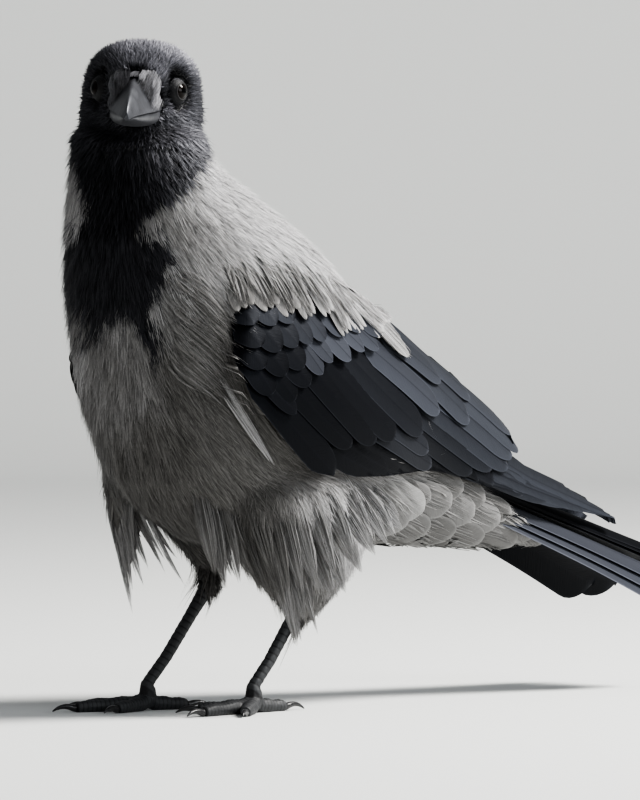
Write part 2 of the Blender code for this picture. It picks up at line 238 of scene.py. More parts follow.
class Graph:
    """A node tree that grows node by node."""

    def __init__(self, tree):
        self.tree = tree

    def add(self, kind, settings=None, values=None):
        node = self.tree.nodes.new(kind)
        for name, value in (settings or {}).items():
            setattr(node, name, value)
        for name, value in (values or {}).items():
            if isinstance(value, Term):
                self.tree.links.new(value.socket, node.inputs[name])
            else:
                node.inputs[name].default_value = value
        return node

    def term(self, node, output=0):
        return Term(self, node.outputs[output])

    def get(self, kind, settings=None, values=None, output=0):
        return self.term(self.add(kind, settings, values), output)

    def vector(self, operation, *values, **named):
        return self.get("ShaderNodeVectorMath", {"operation": operation}, {**dict(enumerate(values)), **named})

    def split(self, vector):
        node = self.add("ShaderNodeSeparateXYZ", values={"Vector": vector})
        return [self.term(node, axis) for axis in "XYZ"]

    def join(self, x=0.0, y=0.0, z=0.0):
        return self.get("ShaderNodeCombineXYZ", values={"X": x, "Y": y, "Z": z})


class Finish(Graph):
    """A material with one Principled shader."""

    def __init__(self, name, **fixed):
        self.material = bpy.data.materials.new(name)
        self.material.use_nodes = True
        super().__init__(self.material.node_tree)
        self.shader = self.tree.nodes["Principled BSDF"]
        for socket, value in fixed.items():
            self.shader.inputs[socket.replace("_", " ")].default_value = value

    def attribute(self, name, output="Vector"):
        return self.get("ShaderNodeAttribute", {"attribute_name": name}, output=output)

    def mix(self, factor, first, second):
        return self.get("ShaderNodeMix", {"data_type": "RGBA"}, {0: factor, 6: first, 7: second}, 2)

    def noise(self, vector, scale=1.0, detail=2.0):
        return self.get("ShaderNodeTexNoise", None, {"Vector": vector, "Scale": scale, "Detail": detail})

    def paint(self, **channels):
        for socket, value in channels.items():
            self.tree.links.new(value.socket, self.shader.inputs[socket.replace("_", " ")])
        return self.material

    def bump(self, height, strength, distance):
        values = {"Height": height, "Strength": strength, "Distance": distance}
        return self.get("ShaderNodeBump", values=values)


# %% [markdown]
# ## Meshes
# Every finished piece is a plain mesh at the origin. These helpers make one from arrays or from a copy of packed
# nodes, and hand it to the frame with its body and the nodes that it stands for.

# %% Helpers for meshes


def link(name, mesh):
    """An object of this mesh in the scene."""
    thing = bpy.data.objects.new(name, mesh)
    scene.collection.objects.link(thing)
    return thing


def plain(name, thing):
    """The evaluated object as a plain mesh object, in place of the old one."""
    bpy.context.view_layer.update()
    graph = bpy.context.evaluated_depsgraph_get()
    mesh = bpy.data.meshes.new_from_object(thing.evaluated_get(graph), depsgraph=graph)
    bpy.data.objects.remove(thing)
    return link(name, mesh)


def vertices(mesh, normals=False):
    """The places or the normals of a mesh's points, a row for each."""
    source, key = (mesh.vertex_normals, "vector") if normals else (mesh.vertices, "co")
    values = np.empty(len(mesh.vertices) * 3)
    source.foreach_get(key, values)
    return values.reshape(-1, 3)


def corners_of(mesh):
    """The point that each corner of the faces lies on."""
    points = np.empty(len(mesh.loops), int)
    mesh.loops.foreach_get("vertex_index", points)
    return points


def store(mesh, name, values, kind="FLOAT"):
    """Keep a number or a vector for each point under a name."""
    key = "value" if kind == "FLOAT" else "vector"
    mesh.attributes.new(name, kind, "POINT").data.foreach_set(key, np.asarray(values, float).ravel())


def from_arrays(name, points, faces):
    """A smooth mesh object from bird-frame points and faces."""
    mesh = bpy.data.meshes.new(name)
    mesh.from_pydata(to_row(points).tolist(), [], [tuple(face) for face in faces])
    mesh.shade_smooth()
    return link(name, mesh)


def edit(mesh, change):
    """Let a function change the mesh's faces."""
    shape = bmesh.new()
    shape.from_mesh(mesh)
    change(shape)
    shape.to_mesh(mesh)
    shape.free()


def face_outward(shape):
    bmesh.ops.recalc_face_normals(shape, faces=shape.faces)


def tree_of(nodes):
    """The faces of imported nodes, in the bird's frame, as a tree to cast on."""
    points, faces = [], []
    for node in nodes:
        mesh = frame["nodes"][node].data
        faces += [tuple(len(points) + v for v in face.vertices) for face in mesh.polygons]
        points += to_bird(vertices(mesh)).tolist()
    return BVHTree.FromPolygons(points, faces)


def copy_of(name, nodes, swell=0.0):
    """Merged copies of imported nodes, grown along their normals by so many millimetres."""
    whole = bmesh.new()
    for node in nodes:
        part = bmesh.new()
        part.from_mesh(frame["nodes"][node].data)
        bmesh.ops.remove_doubles(part, verts=part.verts, dist=1e-6)
        part.normal_update()
        moves = [vertex.normal * swell * MM for vertex in part.verts]
        for vertex, move in zip(part.verts, moves):
            vertex.co += move
        mesh = bpy.data.meshes.new("part")
        part.to_mesh(mesh)
        part.free()
        whole.from_mesh(mesh)
        bpy.data.meshes.remove(mesh)
    mesh = bpy.data.meshes.new(name)
    whole.to_mesh(mesh)
    whole.free()
    return link(name, mesh)


def hand_over(piece, slot, material, stands_for=()):
    """Give the piece its finish and its place in the frame."""
    piece.data.materials.clear()
    piece.data.materials.append(material)
    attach(piece, "root")
    if stands_for:
        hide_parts(*stands_for)
    count = sum(len(face.vertices) - 2 for face in piece.data.polygons)
    print(piece.name, count, "triangles")
    return count


def grid_faces(rows, columns, start=0):
    """Quads of a grid whose points are stored row by row."""
    corner = (np.arange(rows - 1)[:, None] * columns + np.arange(columns - 1)[None]).ravel() + start
    return np.stack([corner, corner + 1, corner + columns + 1, corner + columns], 1)


def tube_faces(rows, columns):
    """Quads between rings of points, each ring closed."""
    pairs = [(i * columns + k, i * columns + (k + 1) % columns) for i in range(rows - 1) for k in range(columns)]
    return [(a, b, b + columns, a + columns) for a, b in pairs]


# %% Floor sweep
# The sweep rises half a metre only, so that the model can be seen from behind over its edge.
SWEEP_FRONT, SWEEP_BACK, SWEEP_RISE, SWEEP_HALF = 6.5, 3.0, 0.5, 6
profile = [(-SWEEP_FRONT, 0)] + [(d, 0) for d in np.linspace(-2, SWEEP_BACK - SWEEP_RISE, 8)]
for a in np.linspace(0, pi / 2, 16)[1:]:
    profile.append((SWEEP_BACK - SWEEP_RISE * (1 - sin(a)), SWEEP_RISE * (1 - cos(a))))
away = Vector((-TOWARDS_VIEW.x, -TOWARDS_VIEW.y, 0)).normalized()
points = [away * d + RIGHT * side + Vector((0, 0, z)) for d, z in profile for side in (-SWEEP_HALF, SWEEP_HALF)]
sweep = bpy.data.meshes.new("floor")
sweep.from_pydata(points, [], [tuple(face) for face in grid_faces(len(profile), 2)])
sweep.shade_smooth()
floor = link("floor", sweep)
painted_sheen_near = Finish("pale floor", Roughness=0.9, Base_Color=(0.72, 0.73, 0.72, 1))
sweep.materials.append(painted_sheen_near.material)

# %% [markdown]
# ## The skin
# The flesh nodes are fused by a voxel remesh, after each has grown a little so that the thin cuts between them
# close. A fog volume then gives the surface at an even depth inside, which a plain move along the normals would
# fold at the thin places. Smoothing takes the facets away. Legs and feet are fused apart on a finer grid.

# %% Fuse the body and sink it by the depth of the coat
FUSE_SWELL = 0.6
BODY_VOXEL, LEG_VOXEL = 1.9, 0.62
COAT_DEPTH = 3.2
FOG_BAND = 8.0
BODY_FLESH = ["head", "neck", "trunk", "thigh_left", "thigh_right", "wing_left", "wing_right"]
LEG_FLESH = ["tarsus_left", "tarsus_right", "foot_left", "foot_right"]


def fused(name, nodes, swell, voxel, depth=0.0, smoothing=8):
    """One closed skin round the nodes, sunk to the depth."""
    thing = copy_of(name, nodes, swell)
    remesh = thing.modifiers.new("fuse", "REMESH")
    remesh.mode = "VOXEL"
    remesh.voxel_size = voxel * MM
    if depth:
        tree = bpy.data.node_groups.new("sink", "GeometryNodeTree")
        tree.interface.new_socket("Geometry", in_out="INPUT", socket_type="NodeSocketGeometry")
        threshold = tree.interface.new_socket("Threshold", in_out="INPUT", socket_type="NodeSocketFloat")
        tree.interface.new_socket("Geometry", in_out="OUTPUT", socket_type="NodeSocketGeometry")
        graph = Graph(tree)
        given = graph.add("NodeGroupInput")
        settings = {"resolution_mode": "VOXEL_SIZE"}
        values = {"Mesh": graph.term(given), "Voxel Size": voxel * MM, "Interior Band Width": FOG_BAND * MM}
        fog = graph.get("GeometryNodeMeshToVolume", settings, values)
        values = {"Volume": fog, "Threshold": graph.term(given, 1)}
        inner = graph.get("GeometryNodeVolumeToMesh", {"resolution_mode": "GRID"}, values)
        graph.add("NodeGroupOutput", values={0: inner})
        sink = thing.modifiers.new("sink", "NODES")
        sink.node_group = tree
        sink[threshold.identifier] = (depth + swell) / FOG_BAND
    smooth = thing.modifiers.new("smooth", "SMOOTH")
    smooth.iterations = smoothing
    thing = plain(name, thing)
    print(name, len(thing.data.vertices), "vertices")
    return thing


body_skin = fused("body_skin", BODY_FLESH, FUSE_SWELL, BODY_VOXEL, COAT_DEPTH, 10)
leg_skin = fused("leg_skin", LEG_FLESH, 0.25, LEG_VOXEL, 0.0, 3)

# %% [markdown]
# ## Scutes
# The front of a crow's shank carries a row of plates, and each toe has a row along its top. They are moved out
# of the leg's own surface, ring by ring along each bone, so that they also show in outline.

# %% Plates along shanks and toes
HOCKS = {"left": (23, 50.5, 57), "right": (-25, 33, 60)}
FEET = {"left": (20, 18, 0), "right": (-30, -4, 0)}
# Each toe has an angle from straight ahead and a length.
TOES_OUT = {"left": 6, "right": 20}
TOES = {"inner": (-34, 27), "middle": (0, 37), "outer": (32, 29), "hind": (176, 21)}
SHANK_PLATE, TOE_PLATE = 3.6, 2.3
FAR = 1e9
PLATE_RELIEF, PAD_RELIEF, PAD_PITCH = 0.32, 0.25, 0.45
FLOOR_GAP = 0.02


def bones():
    """Each shank and toe as start, end, the way its plates face, and the length of a plate."""
    rows = []
    for side, sign in (("left", 1), ("right", -1)):
        foot = np.array(FEET[side], float)
        hock = np.array(HOCKS[side], float)
        rows.append((foot + (0, 0, 9), hock, np.array((0, -1, 0.6)), SHANK_PLATE))
        for angle, length in TOES.values():
            heading = radians(sign * (TOES_OUT[side] + angle))
            tip = foot + np.array((sin(heading), -cos(heading), 0)) * length + (0, 0, 2.3)
            rows.append((foot + (0, 0, 3), tip, np.array((0, 0, 1)), TOE_PLATE))
    return rows


leg_points = to_bird(vertices(leg_skin.data))
leg_normals = vertices(leg_skin.data, normals=True)
nearest = np.full(len(leg_points), FAR)
plate_at = np.zeros(len(leg_points))
facing = np.zeros(len(leg_points))
for start, end, face, plate in bones():
    line = end - start
    share = np.clip((leg_points - start) @ line / (line @ line), 0, 1)
    gap = np.linalg.norm(leg_points - start - share[:, None] * line, axis=1)
    closer = gap < nearest
    nearest = np.where(closer, gap, nearest)
    plate_at = np.where(closer, share * np.linalg.norm(line) / plate, plate_at)
    facing = np.where(closer, leg_normals @ unit(face.astype(float)), facing)
ridge = np.abs(np.sin(pi * plate_at)) ** 0.45 - 0.7
pads = np.cos(2 * pi * leg_points[:, 0] * PAD_PITCH) * np.cos(2 * pi * leg_points[:, 1] * PAD_PITCH)
relief = ridge * ease(facing, 0.05, 0.5) + PAD_RELIEF * pads * ease(-facing, 0.0, 0.5)
relief *= ease(leg_points[:, 2], 0.3, 1.5)
leg_points += leg_normals * (relief * PLATE_RELIEF)[:, None]
leg_points[:, 2] = np.maximum(leg_points[:, 2], FLOOR_GAP)
leg_skin.data.vertices.foreach_set("co", to_row(leg_points).ravel())
store(leg_skin.data, "plate", plate_at)
print("plates", int(plate_at.max()), "on the longest bone")

# %% [markdown]
# ## Lids
# A crow's eye is a large ball whose front shows through a small round opening. Each lid is a zone of a slightly
# larger ball, with a rolled rim round the opening, and folds round it that fade into the skin.

# %% Lids round both eyes
EYE_AXIS = Vector((0.88, 0.47, 0.08)).normalized()
LID_OPENING, LID_REACH = 36, 74
LID_RINGS, LID_SIDES = 16, 48
LID_CLEARANCE, LID_RIM, LID_RIPPLE, LID_TUCK = 0.35, 0.3, 0.08, 0.5


def eye_frame(side):
    """The eye's centre and its outward, forward and upward axes, in the bird's frame."""
    sign = 1 if side == "left" else -1
    turned = HEAD_AXES.to_3x3()
    centre = np.array(HEAD_AXES @ Vector((sign * EYE_PLACE.x, EYE_PLACE.y, EYE_PLACE.z)))
    out = turned @ Vector((sign * EYE_AXIS.x, -EYE_AXIS.y, EYE_AXIS.z))
    fore = (turned @ Vector((0, -1, 0)) - out * (turned @ Vector((0, -1, 0))).dot(out)).normalized()
    rise = out.cross(fore) * sign
    return centre, np.array(out), np.array(fore), np.array(rise)


def on_ball(side, polar, spin, radius):
    """The place on an eye's ball at this angle off its axis and this angle round it."""
    centre, out, fore, rise = eye_frame(side)
    ring = fore * cos(spin) + rise * sin(spin)
    return centre + radius * (out * cos(polar) + ring * sin(polar))


def lid_points(side):
    rows = []
    for i in range(LID_RINGS):
        share = i / (LID_RINGS - 1)
        open_angle = LID_OPENING + (LID_REACH - LID_OPENING) * share
        rim = LID_RIM * np.exp(-(((share - 0.08) / 0.09) ** 2)) + LID_RIPPLE * cos(share * 34) * (1 - share)
        tuck = -LID_TUCK * np.exp(-((share / 0.04) ** 2))
        for k in range(LID_SIDES):
            spin = 2 * pi * k / LID_SIDES
            narrow = 1 - 0.10 * sin(spin) ** 2
            polar = radians(open_angle * (narrow if share < 0.5 else 1 - (1 - narrow) * 2 * (1 - share)))
            rows.append(on_ball(side, polar, spin, EYE_RADIUS + LID_CLEARANCE + rim + tuck))
    return np.array(rows)


def turn_out(shape):
    """Turn the faces of the lid that is being made away from the head."""
    if sum((face.normal.dot(outward) for face in shape.faces), 0.0) < 0:
        bmesh.ops.reverse_faces(shape, faces=shape.faces)


lids = []
for side in SIDES:
    outward = Vector(eye_frame(side)[1])
    lids.append(from_arrays("lid_" + side, lid_points(side), tube_faces(LID_RINGS, LID_SIDES)))
    edit(lids[-1].data, turn_out)
print("lids", [len(lid.data.polygons) for lid in lids], "faces")

# %% [markdown]
# ## One piece of skin
# Body, legs and lids become one mesh. Each point of it is given what the coat needs: which way the feathers lie,
# how long they are there, and whether the place is black or ash grey.

# %% Join the skin and unwrap it
UNWRAP_EDGE = 0.01
bpy.ops.object.select_all(action="DESELECT")
for thing in (body_skin, leg_skin, *lids):
    thing.select_set(True)
bpy.context.view_layer.objects.active = body_skin
lid_count = sum(len(lid.data.vertices) for lid in lids)
leg_count = len(leg_skin.data.vertices)
bpy.ops.object.join()
skin = body_skin
skin.name = skin.data.name = "skin"
body_count = len(skin.data.vertices) - leg_count - lid_count
bpy.ops.object.mode_set(mode="EDIT")
bpy.ops.mesh.select_all(action="SELECT")
bpy.ops.uv.smart_project(angle_limit=radians(66), island_margin=0.004, scale_to_bounds=True)
bpy.ops.object.mode_set(mode="OBJECT")
skin.data.uv_layers[0].name = "OFBake"
unwrapped = skin.data.uv_layers[0]
uv = np.empty(2 * len(skin.data.loops))
unwrapped.uv.foreach_get("vector", uv)
unwrapped.uv.foreach_set("vector", UNWRAP_EDGE + (1 - 2 * UNWRAP_EDGE) * uv)
skin.data.shade_smooth()
print("skin", len(skin.data.vertices), "vertices; unwrap spans", uv.min().round(3), uv.max().round(3))

# %% The outlines of the hood and the bib
# Each row is a height, then where the hood ends on the right and on the left, in degrees round the neck from its
# front, with the left side positive.
HOOD_EDGE = np.array(
    [(178, 4, 5), (182, -26, 14), (187, -34, 22), (191, -34, 26), (198, -36, 33), (205, -38, 37)]
    + [(222, -38, 44), (226, -33, 46), (231, -22, 47), (235, -12, 46), (240, -7, 51), (245, -8, 58)]
    + [(250, -12, 68), (255, -17, 78), (262, -24, 90), (266, -60, 102), (273, -130, 130), (280, -181, 181)],
    float,
)
# The hood and the bib seen from the bird's front left, as distances to the right and heights.
HOOD_FRONT = np.array(
    [(12, 273), (8, 264), (4, 257.6), (-1, 249), (-6, 244.3), (-11, 240.5), (-16.2, 236.7), (-22.4, 233.8)]
    + [(-24.8, 229.5), (-20, 226.2), (-15.2, 228.6), (-12.4, 225.2), (-11, 217.6), (-11.4, 210), (-13.8, 202.4)]
    + [(-16.7, 196.7), (-20, 191), (-22.4, 186.2), (-21, 180), (-17.6, 171.9), (-16.7, 162.4), (-19, 159)]
    + [(-23.8, 167.1), (-28.1, 175.2), (-32.9, 182.4), (-37.6, 179.5), (-42.4, 176.7), (-48.1, 171.9)]
    + [(-55.7, 167.1), (-62.4, 165.2), (-58.6, 170.5), (-51.9, 177.1), (-46.2, 182.9), (-55.7, 181.9)]
    + [(-64.3, 179), (-72, 178.6), (-74, 184.8), (-74, 211), (-66.2, 221.4), (-60.5, 229), (-53.8, 233.8)]
    + [(-51.5, 241.9), (-53.5, 249), (-55, 255.7), (-57, 260.5), (-60, 264.3), (-66, 268.1), (-70, 330)]
    + [(10, 330)],
    float,
)


def within(outline, x, z):
    """Which points lie inside a closed outline."""
    hits = np.zeros(len(x), bool)
    for (ax, az), (bx, bz) in zip(outline, np.roll(outline, -1, axis=0)):
        crosses = (az > z) != (bz > z)
        hits ^= crosses & (x < (bx - ax) * (z - az) / (bz - az if bz != az else 1) + ax)
    return hits


print("outlines of", len(HOOD_EDGE), "and", len(HOOD_FRONT), "places")

# %% How far each point of the skin is from each node and from the spine
BODY, LEG, LID = 0, 1, 2
points = to_bird(vertices(skin.data))
left, behind, height = points.T
normals = vertices(skin.data, normals=True)
part = np.full(len(points), BODY)
part[body_count:] = LEG
part[body_count + leg_count :] = LID

trees = []
for node in BODY_FLESH:
    mesh = frame["nodes"][node].data
    trees.append(BVHTree.FromPolygons([v.co for v in mesh.vertices], [p.vertices for p in mesh.polygons]))
reach = np.array([[tree.find_nearest(Vector(p))[3] for tree in trees] for p in to_row(points[:body_count])]) / MM
apart = {node: np.full(len(points), 99.0) for node in BODY_FLESH}
for node, gaps in zip(BODY_FLESH, reach.T):
    apart[node][:body_count] = gaps
thigh_gap = np.minimum(apart["thigh_left"], apart["thigh_right"])

segments = SPINE[1:] - SPINE[:-1]
best = np.full(len(points), FAR)
tangent = np.zeros((len(points), 3))
centre_y = np.interp(height, SPINE[::-1, 1], SPINE[::-1, 0])
knots = np.gradient(SPINE, axis=0)
for i, line in enumerate(segments):
    share = np.clip(((points[:, 1:] - SPINE[i]) @ line) / (line @ line), 0, 1)
    gap = np.linalg.norm(points[:, 1:] - SPINE[i] - share[:, None] * line, axis=1)
    closer = gap < best
    best = np.where(closer, gap, best)
    way = knots[i] * (1 - share[:, None]) + knots[i + 1] * share[:, None]
    tangent[closer, 1:] = way[closer]
tangent = unit(tangent)

# The coat of the head is thin, so its skin lies nearer to the outline.
HEAD_RISE, HEAD_BAND = 1.6, (9, 4.5)
points += normals * (HEAD_RISE * ease(apart["head"], *HEAD_BAND))[:, None] * (part == BODY)[:, None]
skin.data.vertices.foreach_set("co", to_row(points).ravel())
head_left, head_fore, head_up = in_head(points).T
print("moved", int((apart["head"] < HEAD_BAND[0]).sum()), "points of the head")

# %% Where the coat is black
# The feathers hang below their roots, so the edge is read lower down than the root by their drop.
HOOD_FOOT, HOOD_TOP, HOOD_REAR = 178, 274, 60
BOOT_LEFT, BOOT_RIGHT = 52, 66
bearing = np.degrees(np.arctan2(left, centre_y - behind))
wobble = np.sin(left * 0.61 + 1.3) + np.sin(height * 0.83 + left * 0.37)
wobble = wobble + np.sin(behind * 0.71 + height * 0.29)
z_ragged = height + wobble * 0.6
edge_right = np.interp(z_ragged, HOOD_EDGE[:, 0], HOOD_EDGE[:, 1])
edge_left = np.interp(z_ragged, HOOD_EDGE[:, 0], HOOD_EDGE[:, 2])
inside = np.minimum(bearing - edge_right, edge_left - bearing) + wobble
dark = (inside > 0) & (z_ragged > HOOD_FOOT) & (behind < HOOD_REAR)
drop = 8 + 8.5 * ease(height, 240, 200)
seen_across = (left + behind) * DIAGONAL
probe_across = seen_across + 3.5 * ease(seen_across, -45, -15) + wobble * 0.5
probe_height = height - drop + np.roll(wobble, 7) * 0.5
from_front = normals @ (SEEN_NEAR + (0, 0, 0.1)) > 0.08
front_dark = within(HOOD_FRONT, probe_across, probe_height)
dark = np.where(from_front & (height < HOOD_TOP) & (apart["head"] > 4), front_dark, dark)
dark |= (apart["head"] < 6) & (head_up > -22)
dark |= part != BODY
# The feathers at the foot of each thigh are black.
dark |= (height < BOOT_RIGHT) & (left < 0) & (apart["thigh_right"] < 8)
dark |= (height < BOOT_LEFT) & (apart["thigh_left"] < 8)
print("black", int(dark.sum()), "of", len(dark), "points")

# %% The lie of the feathers
# Feathers point away from the bill on the head, along the spine on the body, and down on the thighs.
BILL_ROOT = (0, 24, -2)
THIGH_TOP = 116


def along_skin(ways):
    """The part of each way that runs along the skin."""
    return unit(ways - normals * (ways * normals).sum(1, keepdims=True))


from_bill = unit(points - from_head([BILL_ROOT]))
with_head = ease(height + 0.35 * behind + 13, 246, 282) * (height > 225)
flow = from_bill * with_head[:, None] + tangent * (1 - with_head[:, None])
hang = ease(10 - thigh_gap, 0, 9)[:, None] * (height[:, None] < THIGH_TOP)
flow = flow * (1 - hang) + np.array((0, 0.28, -1.0)) * hang
sideways = np.sign(left) * ease(np.abs(left), 4, 30) * ease(height, 110, 150)
flow[:, 0] += 0.22 * sideways * (1 - with_head) * (behind < 60) * (1 - hang[:, 0])
flow = along_skin(flow)

near_eye = np.full(len(points), FAR)
off_axis = np.full(len(points), 180.0)
for side in SIDES:
    centre, out, _, _ = eye_frame(side)
    from_eye = points - centre
    gap = np.linalg.norm(from_eye, axis=1)
    angle = np.degrees(np.arccos(np.clip(from_eye @ out / np.maximum(gap, 1e-6), -1, 1)))
    here = gap < near_eye
    near_eye, off_axis = np.where(here, gap, near_eye), np.where(here, angle, off_axis)
    around = unit(from_eye - (from_eye @ out)[:, None] * out)
    share = (ease(gap, 12.5, 8.0) * here)[:, None]
    flow = flow * (1 - share) + around * share
flow = along_skin(flow)
length = 0.35 + 0.65 * ease(near_eye, 6.5, 16)
length *= 0.55 + 0.45 * ease(-head_fore, -20, 25)
print("lengths from", length.min().round(2), "to", length.max().round(2))

# %% The place of each layer
HEAD_FOOT, NAPE_FOOT, BREAST_FOOT, REAR_START = 262, 232, 150, 112
PLUME_LINE = np.array([(-36, -8, 128), (-38, -8, 101), (-39, -8, 81), (-39, -4, 46)], float)
plume_at = [np.interp(height, PLUME_LINE[::-1, 2], PLUME_LINE[::-1, i]) for i in (0, 1)]
plume_gap = np.linalg.norm(points[:, :2] - np.stack(plume_at, 1), axis=1)
on_plume = (plume_gap < 17) & (height < 112) & (left < -20)
under_wing = np.minimum(apart["wing_left"], apart["wing_right"]) < COAT_DEPTH + 1.2
bill_mouth = (np.abs(head_left) < 9) & (head_fore > 34) & (apart["head"] < 5)
bare = (part != BODY) | ((near_eye < 9.5) & (off_axis < 47)) | under_wing | bill_mouth | on_plume
lid_coat = (part == LID) & (off_axis > 43) & (off_axis < 73)
on_head = (apart["head"] < 6) & (height > HEAD_FOOT)
thigh = thigh_gap < 5
top = normals[:, 2] * 0.8 + normals[:, 1] * 0.6 > 0.15
rear = behind > REAR_START
plumage = ~on_head & ~dark & ~thigh
places = {
    "crown": on_head & dark,
    "cheek": (apart["head"] < 7) & dark & (head_up < -5) & (head_fore < 24),
    "hackles": ~on_head & dark & (height > NAPE_FOOT),
    "bib": ~on_head & dark & (height <= NAPE_FOOT) & ~thigh,
    "mantle": plumage & top,
    "breast": plumage & ~top & ~rear & (height > BREAST_FOOT),
    "belly": plumage & ~top & ~rear & (height <= BREAST_FOOT),
    "vent": ~dark & ~thigh & ~top & rear,
    "thighs": thigh & ~dark,
    "boots": thigh & dark,
}
store(skin.data, "grow_lids", lid_coat.astype(float))
for name, mask in places.items():
    store(skin.data, "grow_" + name, (mask & ~bare).astype(float))
    print(name, int((mask & ~bare).sum()), "points")

# %% Painted light and shade
# The ash feathers' colour carries painted light and shade: palest where they face up and back, towards the
# window lamp, and darker and browner lower down.
painted_shade_below = ease(height, 235, 120)
# back is painted light, strongest where the skin faces up, to the left and back.
back = ease(normals[:, 2] * 0.6 + normals[:, 0] * 0.5 + 0.4 * normals[:, 1], -0.1, 0.75)
patchy = np.sin(left * 0.11 + 0.6) * np.sin(height * 0.09 + behind * 0.05)
shade = np.clip(0.52 - 0.42 * painted_shade_below + 0.5 * back + 0.10 * patchy, 0, 1)
# Patches of painted light and shade, laid along the view from the bird's front left, so that they also reach the far
# side.
PAINTED_LIGHT_PATCHES = (
    # across, height, radius, change of painted light
    (20, 250, 24, 0.25),
    (45, 222, 22, 0.15),
    (-58, 174, 9, 0.65),
    (-60, 243, 14, 0.4),
    (-31, 158, 12, 0.45),
    (-8, 242, 14, -0.45),
    (4, 230, 13, -0.35),
    (9, 214, 16, -0.2),
    (10, 195, 15, -0.4),
    (16, 180, 16, -0.3),
    (38, 206, 14, 0.3),
    (-8, 173, 16, -0.2),
    (1, 149, 30, -0.4),
    (9, 128, 24, -0.2),
    (37, 92, 16, -0.3),
    (63, 106, 14, 0.3),
    (-20, 105, 28, -0.22),
    (20, 115, 26, -0.25),
    (0, 80, 18, -0.05),
    (78, 100, 16, 0.55),
    (92, 88, 12, 0.45),
    (52, 75, 14, 0.12),
    (48, 45, 10, 0.2),
)
for x, z, radius, change in PAINTED_LIGHT_PATCHES:
    away_from = ((seen_across - x) ** 2 + (height - z) ** 2) / radius**2
    shade = shade + change * np.exp(-away_from)
streaks = np.sin(seen_across * 0.55 + 0.10 * height) * np.sin(seen_across * 0.23 - 0.07 * height + 1)
shade = np.clip(shade + 0.13 * streaks, 0, 1)
# The black feathers get a painted highlight where they face up and to the bird's left, weaker on the lower neck.
painted_highlight = ease(normals @ np.array((0.45, -0.1, 0.8)), 0.1, 0.9) * (0.75 + 0.25 * patchy)
painted_highlight = 0.08 + 0.92 * painted_highlight**1.5 * (0.3 + 0.7 * ease(height, 264, 290))
shade = np.where(dark, painted_highlight, shade)
store(skin.data, "shade", shade)
store(skin.data, "flow", flow, "FLOAT_VECTOR")
store(skin.data, "reach", length)
store(skin.data, "dark", dark.astype(float))
store(skin.data, "leg", (part == LEG).astype(float))
print("shade", shade.min().round(2), "to", shade.max().round(2))

# %% [markdown]
# ## Feathers
# A body feather is a flat vane that frays into locks of barbs. The patterns below are a few locks side by side,
# each a narrow strip that ends in a point, so that thousands of them stay light. `vane` tells the finish where a
# point lies on its feather: across from -1 to 1, and along from 0 to 1.

# %% Feather patterns
rng = np.random.default_rng(7)


def pattern(name, locks, split=0.4, round_tip=0.35, fray=0.10, taper=0.55, root=0.4, slim=0.78):
    """A unit feather along +Y, one wide, made of locks of five triangles."""
    points, faces, vane = [], [], []
    for i in range(locks):
        middle = (2 * i + 1) / locks - 1
        half = 1.12 / locks
        tip = 1 - round_tip * middle**2 + rng.uniform(-fray, fray)
        lean = middle * (1 + rng.uniform(-0.05, 0.12))
        levels = [(0, middle * root, half * root), (split, middle, half)]
        levels += [(split + (tip - split) * taper, lean, half * slim)]
        start = len(points)
        for y, x, width in levels:
            points += [(x - width, y), (x + width, y)]
        points.append((lean * (1 - 0.25 * round_tip) + rng.uniform(-fray, fray) * half * 3, tip))
        vane += [rng.uniform(0, 1)] * 7
        for level in range(2):
            a = start + 2 * level
            faces.append((a, a + 1, a + 3, a + 2))
        faces.append((start + 4, start + 5, start + 6))
    points = np.array(points)
    mesh = bpy.data.meshes.new(name)
    mesh.from_pydata([(x / 2, y, 0) for x, y in points], [], faces)
    mesh.shade_smooth()
    store(mesh, "vane", np.column_stack([points, vane]), "FLOAT_VECTOR")
    return bpy.data.objects.new(name, mesh)


def patterns(name, locks, variants=3, **shape):
    """A collection of like feathers to pick from."""
    collection = bpy.data.collections.new(name)
    for i in range(variants):
        collection.objects.link(pattern(f"{name}_{i}", locks, **shape))
    return collection


TUFT = patterns("tuft", 3, round_tip=0.5, fray=0.2, slim=0.55)
HACKLE = patterns("hackle", 3, split=0.3, round_tip=0.9, fray=0.14, slim=0.6)
PLUME_FEATHER = patterns("plume", 9, variants=5, split=0.36, round_tip=0.5, fray=0.17, taper=0.5, slim=0.5)
WISP = patterns("wisp", 1, split=0.3, round_tip=0.0, fray=0.12, taper=0.5, root=0.8, slim=0.6)
BRISTLE = patterns("bristle", 1, split=0.2, round_tip=0.0, fray=0.05, taper=0.6, root=0.8)

# %% [markdown]
# ## Growing the coat
# One Geometry Nodes tree grows every layer. It scatters roots over the skin by a painted amount, sets a feather
# on each along the lie of the coat, makes the feathers real mesh and lays every point of them on the nearest
# skin, higher towards the tip. The map named OFBake gives each feather a small patch at its root's place on the
# skin's unwrap.

# %% The coat's tree
BAKE_PATCH = 0.003
COAT_INPUTS = {"Geometry": "Geometry", "Feathers": "Collection", "Onto": "Object", "Grow": "String"}
COAT_INPUTS |= dict.fromkeys(("Spacing", "Length", "Width", "Rise", "Camber", "Mess"), "Float")
COAT_INPUTS |= {"Seed": "Int", "Finish": "Material"}


